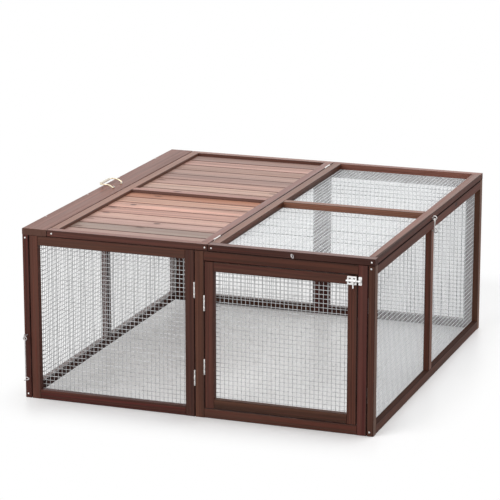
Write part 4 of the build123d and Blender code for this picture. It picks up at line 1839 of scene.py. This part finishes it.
@dataclass
class BarrelBolt:
    """Barrel bolt: a plate with two bent straps, a keeper, and a round rod with a turned-down knob."""

    finish: Material
    axis_y: float = -540.3 * MM
    axis_z: float = 418.7 * MM
    plate_x: tuple[float, float] = (416.6 * MM, 442.3 * MM)
    keeper_x: tuple[float, float] = (447.6 * MM, 456.6 * MM)
    plate_h: float = 23 * MM
    plate_t: float = 1.2 * MM
    window_in: float = 4 * MM
    window_w: float = 5.6 * MM
    window_off: tuple[float, float] = (3.7 * MM, 6.8 * MM)
    plate_edge: float = 1.6 * MM
    strap_in: float = 2.45 * MM
    strap_t: float = 1 * MM
    strap_edge: float = 1.5 * MM
    strap_w: float = 4.5 * MM
    screw_edge: tuple[float, float] = (3 * MM, 2.8 * MM)
    rod_x: tuple[float, float] = (414.1 * MM, 454.1 * MM)
    rod_r: float = 2.4 * MM
    rod_ease: float = 0.7 * MM
    stem_r: float = 1.7 * MM
    knob_x: float = 433.5 * MM
    knob_r: float = 2.2 * MM
    knob_drop: float = 20.5 * MM

    def plate(self, span: tuple[float, float], windows: bool) -> Skin:
        """Flat plate on the wood, its face to the front, with four pressed windows beside the straps.

        Args:
            span: the plate's ends along the rod.
            windows: the plate has its windows.

        Returns:
            The skin in place.
        """
        half, tall = (span[1] - span[0]) / 2, self.plate_h / 2
        edge = self.plate_edge
        left, right = self.window_in - half, self.window_in + self.window_w - half
        cuts = [left, right, -right, -left] if windows else []
        xs = [-half, edge - half, *cuts, half - edge, half]
        near, far = self.window_off
        ys = [-tall, edge - tall, -far, -near, near, far, tall - edge, tall]
        holes = [(column, row) for column in (2, 4) for row in (2, 4)] if windows else []
        flat = pierced(xs, ys, holes, 0.3 * edge, self.plate_t)
        origin = np.array([(span[0] + span[1]) / 2, FRONT, self.axis_z])
        return flat.set_in(origin, -Way.Y.unit(), Way.X.unit())

    def strap(self, low: float, high: float) -> Skin:
        """Bent strap over the rod: a half ring with straight legs, carried along the rod's line.

        Args:
            low: its left end.
            high: its right end.

        Returns:
            The strap in place.
        """
        inner, outer = self.strap_in, self.strap_in + self.strap_t
        depth = FRONT - self.plate_t - self.axis_y
        bow = np.linspace(-math.pi / 2, math.pi / 2, 17)
        arc = np.stack([-np.cos(bow), np.sin(bow)], axis=-1)
        over = np.concatenate([[[depth, -outer]], arc * outer, [[depth, outer]]])
        under = np.concatenate([[[depth, inner]], arc[::-1] * inner, [[depth, -inner]]])
        outline = np.concatenate([over, under])
        path = np.array([[low, self.axis_y, self.axis_z], [high, self.axis_y, self.axis_z]])
        return carried(path, Way.Y.unit(), outline[::-1])

    def screws(self, spots: list[tuple[float, float]]) -> Skin:
        """Small pan heads on the plate.

        Args:
            spots: across and height of each.

        Returns:
            All the heads.
        """
        seats = [(x, FRONT - self.plate_t, z) for x, z in spots]
        turns = 0.7 + 1.3 * np.arange(len(spots))
        return Screw.BOLT.value.driven(seats, -Way.Y.unit(), Way.X.unit(), turns)

    def rod(self) -> Skin:
        """Round rod with eased ends and a knob that drops from it to a ball.

        Returns:
            Rod and knob.
        """
        low, high = self.rod_x
        length = high - low
        end = [(0, 0), (self.rod_r - self.rod_ease, 0), (self.rod_r - 0.2 * MM, 0.3 * MM)]
        end.append((self.rod_r, self.rod_ease))
        shaft = turned(end + [(radius, length - place) for radius, place in end[::-1]], 28)
        shaft = shaft.set_in(np.array([low, self.axis_y, self.axis_z]), Way.X.unit(), Way.Y.unit())
        stem, ball = self.stem_r, self.knob_r
        above = ((stem, 5.2), (0.9 * ball, 3.6), (ball, 2.4), (0.92 * ball, 1.1), (0.6 * ball, 0.25))
        outline = [(0.0, 0.0), (stem, 0.0)]
        outline += [(radius, self.knob_drop - rise * MM) for radius, rise in above]
        knob = turned([*outline, (0.0, self.knob_drop)], 24)
        top = np.array([self.knob_x, self.axis_y, self.axis_z])
        return shaft + knob.set_in(top, -Way.Z.unit(), Way.X.unit())

    def build(self) -> None:
        """Make the plate, the keeper and the rod on their bodies."""
        low, high = self.plate_x
        edge, wide = self.strap_edge, self.strap_edge + self.strap_w
        inset = self.screw_edge[0]
        rise = self.plate_h / 2 - self.screw_edge[1]
        above, below = self.axis_z + rise, self.axis_z - rise
        corners = [(x, z) for x in (low + inset, high - inset) for z in (below, above)]
        plate = self.plate(self.plate_x, True) + self.strap(low + edge, low + wide)
        plate = plate + self.strap(high - wide, high - edge) + self.screws(corners)
        near, far = self.keeper_x
        middle = (near + far) / 2
        keeper = self.plate(self.keeper_x, False) + self.strap(near + edge, far - edge)
        keeper = keeper + self.screws([(middle, above), (middle, below)])
        make_piece("bolt_back_plate", plate, self.finish, "door", Slot.ZINC, ("bolt_plate",))
        make_piece("bolt_staple_plate", keeper, self.finish, "front_right", Slot.ZINC, ("bolt_keeper",))
        make_piece("bolt_round_rod", self.rod(), self.finish, "door_bolt", Slot.ZINC, ("bolt_rod",))


@dataclass
class Studio:
    """White floor, soft lamps and the camera of the photograph."""

    camera_at: Point = (2.2178, -6.2395, 2.0304)
    azimuth: float = 19.936
    elevation: float = 14.374
    lens: float = 172.3
    sky: float = 0.38
    floor_half: float = 12.0
    floor_lit: float = 0.45
    floor_mirrored: float = 0.2
    floor_seen: float = 0.94
    stand_middle: tuple[float, float] = (0.046, 0.232)
    stand_half: tuple[float, float] = (0.446, 0.768)
    stand_white: float = 0.1
    shade_reach: float = 0.22
    mirror_reach: tuple[float, float] = (2.0, 4.5)
    floor_drop: float = 0.6 * MM
    lamp_aim: Point = (0.0, 0.0, 0.25)

    @staticmethod
    def stand(thing: bpy.types.Object, right: np.ndarray, back: np.ndarray, place: Point) -> None:
        """Put a lamp or the camera into the scene: its own axes are right, back crossed with right, back.

        Args:
            thing: the lamp or camera.
            right: the way to its right.
            back: the way behind it.
            place: where it stands.
        """
        matrix = np.eye(4)
        matrix[:3, :3] = np.stack([right, np.cross(back, right), back], axis=1)
        matrix[:3, 3] = place
        thing.matrix_world = Matrix(matrix)
        bpy.context.scene.collection.objects.link(thing)

    def camera(self) -> None:
        """Camera at the photograph's place, turned by its azimuth and its elevation."""
        turn, lift = math.radians(self.azimuth), math.radians(self.elevation)
        level = np.array([math.sin(turn), -math.cos(turn), 0.0])
        back = math.cos(lift) * level + math.sin(lift) * Way.Z.unit()
        right = np.array([math.cos(turn), math.sin(turn), 0.0])
        data = bpy.data.cameras.new("photo_camera")
        data.lens = self.lens
        data.sensor_width = 36.0
        data.clip_end = 100.0
        eye = bpy.data.objects.new("photo_camera", data)
        self.stand(eye, right, back, self.camera_at)
        bpy.context.scene.camera = eye

    def world(self) -> None:
        """Even white sky: white to the camera and to mirrors, a plain level of light to the rest."""
        world = bpy.data.worlds.new("studio")
        bpy.context.scene.world = world
        world.use_nodes = True
        graph = Graph(world.node_tree)
        camera, mirror = graph.rays()
        colour = graph.mix(camera.most(mirror), grey(self.sky), grey(1.0))
        light = graph.node("ShaderNodeBackground", {"Color": colour, "Strength": 1.0})
        graph.node("ShaderNodeOutputWorld", {"Surface": light.outputs[0]})

    def floor(self) -> None:
        """Pale floor that keeps the shadow and fades into the white sky away from the coop."""
        graph, material = Graph.of_material("studio_floor")
        x, y, _ = graph.parts(graph.place())
        aside = (abs(x - self.stand_middle[0]) - self.stand_half[0]).most(0.0)
        before = (abs(y - self.stand_middle[1]) - self.stand_half[1]).most(0.0)
        away = (aside * aside + before * before).root()
        camera, mirror = graph.rays()
        unseen = graph.mix(mirror, grey(self.floor_lit), grey(self.floor_mirrored))
        colour = graph.mix(camera, unseen, grey(self.floor_seen))
        look = {"Base Color": colour, "Roughness": 0.35, "Specular IOR Level": 0.3}
        matt = graph.node("ShaderNodeBsdfPrincipled", look)
        white = graph.node("ShaderNodeEmission", {"Color": grey(1.0), "Strength": 1.0})
        share = camera * (self.stand_white + (1 - self.stand_white) * away.step(0.0, self.shade_reach))
        share = share.most(mirror * away.step(*self.mirror_reach))
        shaders = {0: share, 1: matt.outputs[0], 2: white.outputs[0]}
        blend = graph.node("ShaderNodeMixShader", shaders)
        graph.node("ShaderNodeOutputMaterial", {"Surface": blend.outputs[0]})
        spread = np.linspace(-self.floor_half, self.floor_half, 2)
        xs, ys = np.meshgrid(spread, spread)
        points = np.stack([xs.ravel(), ys.ravel(), np.full(4, -self.floor_drop)], axis=-1)
        mesh = bpy.data.meshes.new("studio_floor")
        mesh.from_pydata(points.tolist(), [], [(0, 1, 3, 2)])
        mesh.materials.append(material)
        floor = bpy.data.objects.new("studio_floor", mesh)
        bpy.context.scene.collection.objects.link(floor)

    def lamp(self, name: str, place: Point, size: tuple[float, float], power: float) -> None:
        """Soft lamp aimed at the middle of the coop.

        Args:
            name: the lamp's name.
            place: where it stands.
            size: its width and height.
            power: its light, in watts.
        """
        data = bpy.data.lights.new(name, "AREA")
        data.shape = "RECTANGLE"
        data.size, data.size_y = size
        data.energy = power
        back = np.array(place) - np.array(self.lamp_aim)
        back = back / np.linalg.norm(back)
        right = np.cross(Way.Z.unit(), back)
        right = right / np.linalg.norm(right)
        self.stand(bpy.data.objects.new(name, data), right, back, place)

    def build(self) -> None:
        """Set the view, the sky, the floor, the lamps and the camera."""
        bpy.context.scene.view_settings.view_transform = "Standard"
        self.world()
        self.floor()
        self.lamp("key_lamp", (-1.8, -3.4, 2.2), (2.8, 2.8), 116.0)
        self.lamp("top_lamp", (1.7, 0.9, 3.5), (3.0, 3.0), 85.0)
        self.lamp("right_fill", (4.2, -1.2, 1.3), (2.2, 2.2), 36.0)
        self.lamp("back_card", (-1.4, 3.8, 1.6), (3.2, 1.5), 5.0)
        self.camera()


@dataclass
class FrameScrews:
    """Wood screws at the corners of the walls and lids, and along the shelf's edge."""

    finish: Material
    wall_x: tuple[float, float] = (-499.6 * MM, 481.6 * MM)
    wall_z: tuple[float, float] = (11.2 * MM, 453.4 * MM)
    left_lid_x: tuple[float, float] = (-420.9 * MM, 21.6 * MM)
    right_lid_x: tuple[float, float] = (40.1 * MM, 482.6 * MM)
    lid_z: float = 471 * MM
    shelf_x: float = -502.4 * MM
    shelf_y: tuple[float, ...] = (-390.5 * MM, -105.5 * MM, 125.3 * MM, 410.3 * MM)
    shelf_z: float = 480 * MM

    def build(self) -> None:
        """Drive the screws of both walls and both lids, front and back, and those of the shelf."""
        large, small = Screw.FRAME.value, Screw.SHELF.value
        for name, face, out in (("front", FRONT, -Way.Y.unit()), ("back", BACK, Way.Y.unit())):
            left, right = ([(x, face, z) for z in self.wall_z] for x in self.wall_x)
            lids = ([(x, face, self.lid_z) for x in pair] for pair in (self.left_lid_x, self.right_lid_x))
            left_lid, right_lid = lids
            large.build(f"left_wall_{name}_screws", "left_wall", left, out, self.finish)
            large.build(f"right_wall_{name}_screws", "right_wall", right, out, self.finish)
            large.build(f"left_lid_{name}_screws", "left_wall", left_lid, out, self.finish)
            large.build(f"right_lid_{name}_screws", "right_lid", right_lid, out, self.finish)
        row = [(self.shelf_x, y, self.shelf_z) for y in self.shelf_y]
        small.build("shelf_edge_screws", "left_wall", row, Way.Z.unit(), self.finish)


# The coop's own finishes


class Plating(Enum):
    """Platings of the metal pieces, with darker copies for painted shade and a lighter one for painted
    light.
    """

    ZINC = PlatedSteel(
        "zinc_plate", paint(240, 238, 236), paint(198, 196, 195), rough=0.32, metallic=0.45
    )
    WHITE = PlatedSteel(
        "white_zinc", paint(250, 249, 248), paint(226, 225, 224), rough=0.35, metallic=0.15
    )
    # Painted shade: a darker copy of the zinc for the hooks, the eyes and the bail's staples.
    DRAWN = PlatedSteel(
        "shade_painted_zinc", paint(196, 191, 191), paint(150, 146, 147), rough=0.34, metallic=0.4
    )
    # Painted light: a lighter copy of the zinc for the lid's eye and the roof hook, which lie in shade.
    BRIGHT = PlatedSteel(
        "light_painted_zinc", paint(244, 242, 240), paint(206, 204, 203), rough=0.36, metallic=0.3
    )
    GALVANISED = PlatedSteel(
        "galvanised_wire", paint(226, 228, 230), paint(182, 185, 188), rough=0.45, cloud=220.0, metallic=0.4
    )
    # Painted shade: a darker copy of the galvanised wire for the nets that the key lamp lights strongly.
    WEATHERED = PlatedSteel(
        "shade_painted_wire", paint(201, 202, 203), paint(159, 161, 163), rough=0.5, cloud=180.0, metallic=0.4
    )
    PALE = PlatedSteel(
        "pale_wire", paint(236, 224, 196), paint(198, 180, 146), rough=0.3, cloud=90.0, metallic=0.6
    )


def lath_finish() -> Timber:
    """Dark red-brown stain of the frames' laths, a little painted light on their tops, and arrises darkened
    partly as painted shade.

    Returns:
        The finish.
    """
    return Timber(
        "stained_lath",
        early=paint(95, 54, 41),
        late=paint(52, 28, 20),
        fibre=paint(43, 23, 16),
        streak=paint(91, 38, 31),
        worn=paint(150, 106, 88),
        knot=paint(26, 14, 11),
        ring=5.0 * MM,
        late_share=0.65,
        fibre_share=0.6,
        streak_share=0.7,
        band_share=0.45,
        hue_spread=0.01,
        hue_lean=0.6,
        painted_light_colour=paint(132, 82, 64),
        painted_light_share=0.1,
        arris_shade=0.5,
        scuff_share=0.2,
        weather=paint(83, 56, 46),
        weather_share=0.5,
        knots=0.12,
        rough=0.38,
        ior=1.3,
    )


def laths_apart(lath: Timber) -> dict[str, Timber]:
    """Laths that differ from the rest: painted light on their tops or sides, painted shade at their seams,
    or stained on their own.

    Args:
        lath: the finish of the rest.

    Returns:
        The finish of each such node.
    """

    def rows(name: str, *stains: tuple[int, Colour, float], of: Timber = lath) -> Timber:
        """A finish with stains of its own on some rows."""
        return replace(of, name=name, stained_rows=stains)

    # Painted light: the lids' tops are lighter, as the light falls on them.
    lid_lath = replace(lath, name="lid_lath", painted_light_share=0.45, band_share=0.7)
    pale_lid = replace(
        lath, name="pale_lid_lath", painted_light_colour=paint(150, 102, 84), painted_light_share=0.55, band_share=0.7
    )
    # Painted shade: where the right lid sits on the right wall, and on the top of the wall's low rail.
    painted_seam_shades = ((461.5 * MM, 3.2 * MM, 0.95), (26 * MM, 1.5 * MM, 0.65))
    edge_lath = replace(lath, name="edge_lath", ior=1.22, painted_seam_shades=painted_seam_shades)
    # Painted light on the tops of the right lid's stiles.
    edge_lid = replace(
        edge_lath,
        name="edge_lid_lath",
        painted_light_colour=paint(146, 99, 81),
        painted_light_share=0.5,
        band_share=0.75,
        dark_edges=((-0.55, 0.4925, 0.85, 0.011),),
    )
    # Painted light: a lighter copy of the lid lath for the lit bar of the right lid.
    light_painted = replace(
        lid_lath,
        name="sunned_lath",
        early=paint(139, 92, 75),
        late=paint(100, 63, 51),
        fibre=paint(84, 52, 42),
        streak=paint(131, 77, 64),
        weather_share=0.0,
        band_share=0.3,
    )
    # Painted light: the faces turned to the right are lightened.
    side_light_painted = replace(
        lath, name="side_light_painted", painted_light_colour=paint(156, 118, 102), painted_light_share=0.3, painted_light_way=Way.X
    )
    sunned_bar = replace(side_light_painted, painted_light_share=0.2, knots=0.0)
    return {
        "left_lid_stiles": pale_lid,
        "left_lid_rails": pale_lid,
        "right_lid_stiles": edge_lid,
        # Painted light: the right lid's back rail has a lighter row, as it is lit.
        "right_lid_rails": rows("sunned_back_lath", (1, paint(133, 88, 74), 0.65), of=lid_lath),
        "right_lid_bar": light_painted,
        "right_wall_rails": edge_lath,
        "right_wall_stiles": rows("sunned_stile", (1, paint(142, 94, 76), 0.6), of=side_light_painted),
        "right_wall_bar": rows("sunned_bar", (0, paint(116, 71, 57), 0.35), of=sunned_bar),
        "front_left_stiles": rows(
            "first_stile", (0, paint(84, 45, 32), 0.55), (1, paint(66, 45, 37), 0.45)
        ),
        "front_right_stiles": rows(
            "second_stile", (0, paint(114, 77, 59), 0.5), (1, paint(82, 41, 33), 0.45)
        ),
        "front_right_rails": rows("red_lath", (0, paint(99, 46, 40), 0.5), (1, paint(88, 43, 38), 0.5)),
        "door_stiles": rows("door_stile", (0, paint(70, 48, 38), 0.45)),
        "door_rails": rows("brown_lath", (0, paint(78, 53, 43), 0.4), (1, paint(70, 44, 37), 0.5)),
    }


def board_finishes() -> tuple[Timber, Timber, Timber]:
    """Weathered stain of the roof's boards, with painted shade on the faces across the batten and the
    slats.

    Returns:
        The finishes of the shelf, the batten and the slats.
    """
    shelf = Timber(
        "stained_shelf",
        early=paint(131, 94, 84),
        late=paint(97, 66, 53),
        fibre=paint(84, 57, 46),
        streak=paint(114, 71, 58),
        worn=paint(160, 126, 110),
        knot=paint(44, 28, 23),
        streak_share=0.35,
        band_share=0.5,
        end_shade=0.5,
        weather=paint(125, 100, 93),
        weather_share=0.35,
        knots=0.2,
        rough=0.44,
        ior=1.2,
    )
    batten = replace(
        shelf,
        name="stained_batten",
        early=paint(190, 150, 134),
        late=paint(154, 117, 103),
        fibre=paint(130, 97, 85),
        streak=paint(194, 146, 128),
        # Painted shade on the batten's front.
        edge_shade=0.7,
    )
    slats = Timber(
        "stained_slat",
        early=paint(200, 164, 150),
        late=paint(140, 109, 98),
        fibre=paint(106, 80, 73),
        streak=paint(204, 158, 140),
        worn=paint(196, 164, 148),
        knot=paint(62, 34, 26),
        fibre_share=0.6,
        streak_share=0.4,
        band_share=0.5,
        tone_spread=0.22,
        hue_spread=0.006,
        hue_lean=0.6,
        arris_shade=0.3,
        # Painted shade in the gaps between slats.
        edge_shade=0.7,
        weather=paint(147, 130, 122),
        weather_share=0.5,
        knots=0.4,
        rough=0.46,
        ior=1.2,
        stained_rows=(
            (5, paint(234, 181, 162), 0.8),
            (1, paint(153, 140, 130), 0.75),
            (0, paint(204, 163, 146), 0.5),
            (3, paint(202, 166, 150), 0.4),
            (7, paint(198, 138, 104), 0.7),
            (2, paint(180, 146, 140), 0.5),
            (4, paint(216, 166, 145), 0.5),
            (6, paint(214, 160, 134), 0.6),
        ),
        placed_knots=((-0.344, -0.145, 0.0085), (-0.196, -0.333, 0.009)),
    )
    return shelf, batten, slats


def main() -> None:
    """Build and dress the coop, sub-assembly by sub-assembly."""
    logging.basicConfig(level=logging.INFO, format="%(name)s %(message)s", force=True)
    Studio().build()

    lath = lath_finish()
    LathFrames(lath, laths_apart(lath)).dress_frames()
    RoofBoards(*board_finishes()).dress_boards()

    plated = {plating: plating.value.material() for plating in Plating}
    # The darker mesh plating is painted shade, for the nets that the key lamp lights strongly.
    wire_with_painted_shade, galvanised = plated[Plating.WEATHERED], plated[Plating.GALVANISED]
    for body, face, inward, finish in (
        ("left_wall", Way.X, 1.0, wire_with_painted_shade),
        ("right_wall", Way.X, -1.0, galvanised),
        ("front_left", Way.Y, 1.0, wire_with_painted_shade),
        ("door", Way.Y, 1.0, wire_with_painted_shade),
        ("back_left", Way.Y, -1.0, wire_with_painted_shade),
        ("back_right", Way.Y, -1.0, wire_with_painted_shade),
        ("right_lid", Way.Z, -1.0, galvanised),
    ):
        WeldedMesh(body, face, inward).build(finish)

    HingeSet(plated[Plating.ZINC]).build()
    # Hooks, eyes and the bail's staples take zinc with painted shade; the lid's eye and the roof hook take
    # zinc with painted light.
    EyesAndHooks(plated[Plating.DRAWN], plated[Plating.BRIGHT]).build()
    ivory = MouldedPlastic("ivory_sleeve", paint(226, 221, 208), paint(204, 196, 178)).material()
    CarryHandle(plated[Plating.PALE], ivory, plated[Plating.DRAWN]).build()
    BarrelBolt(plated[Plating.WHITE]).build()
    FrameScrews(plated[Plating.ZINC]).build()


if __name__ == "__main__":
    main()
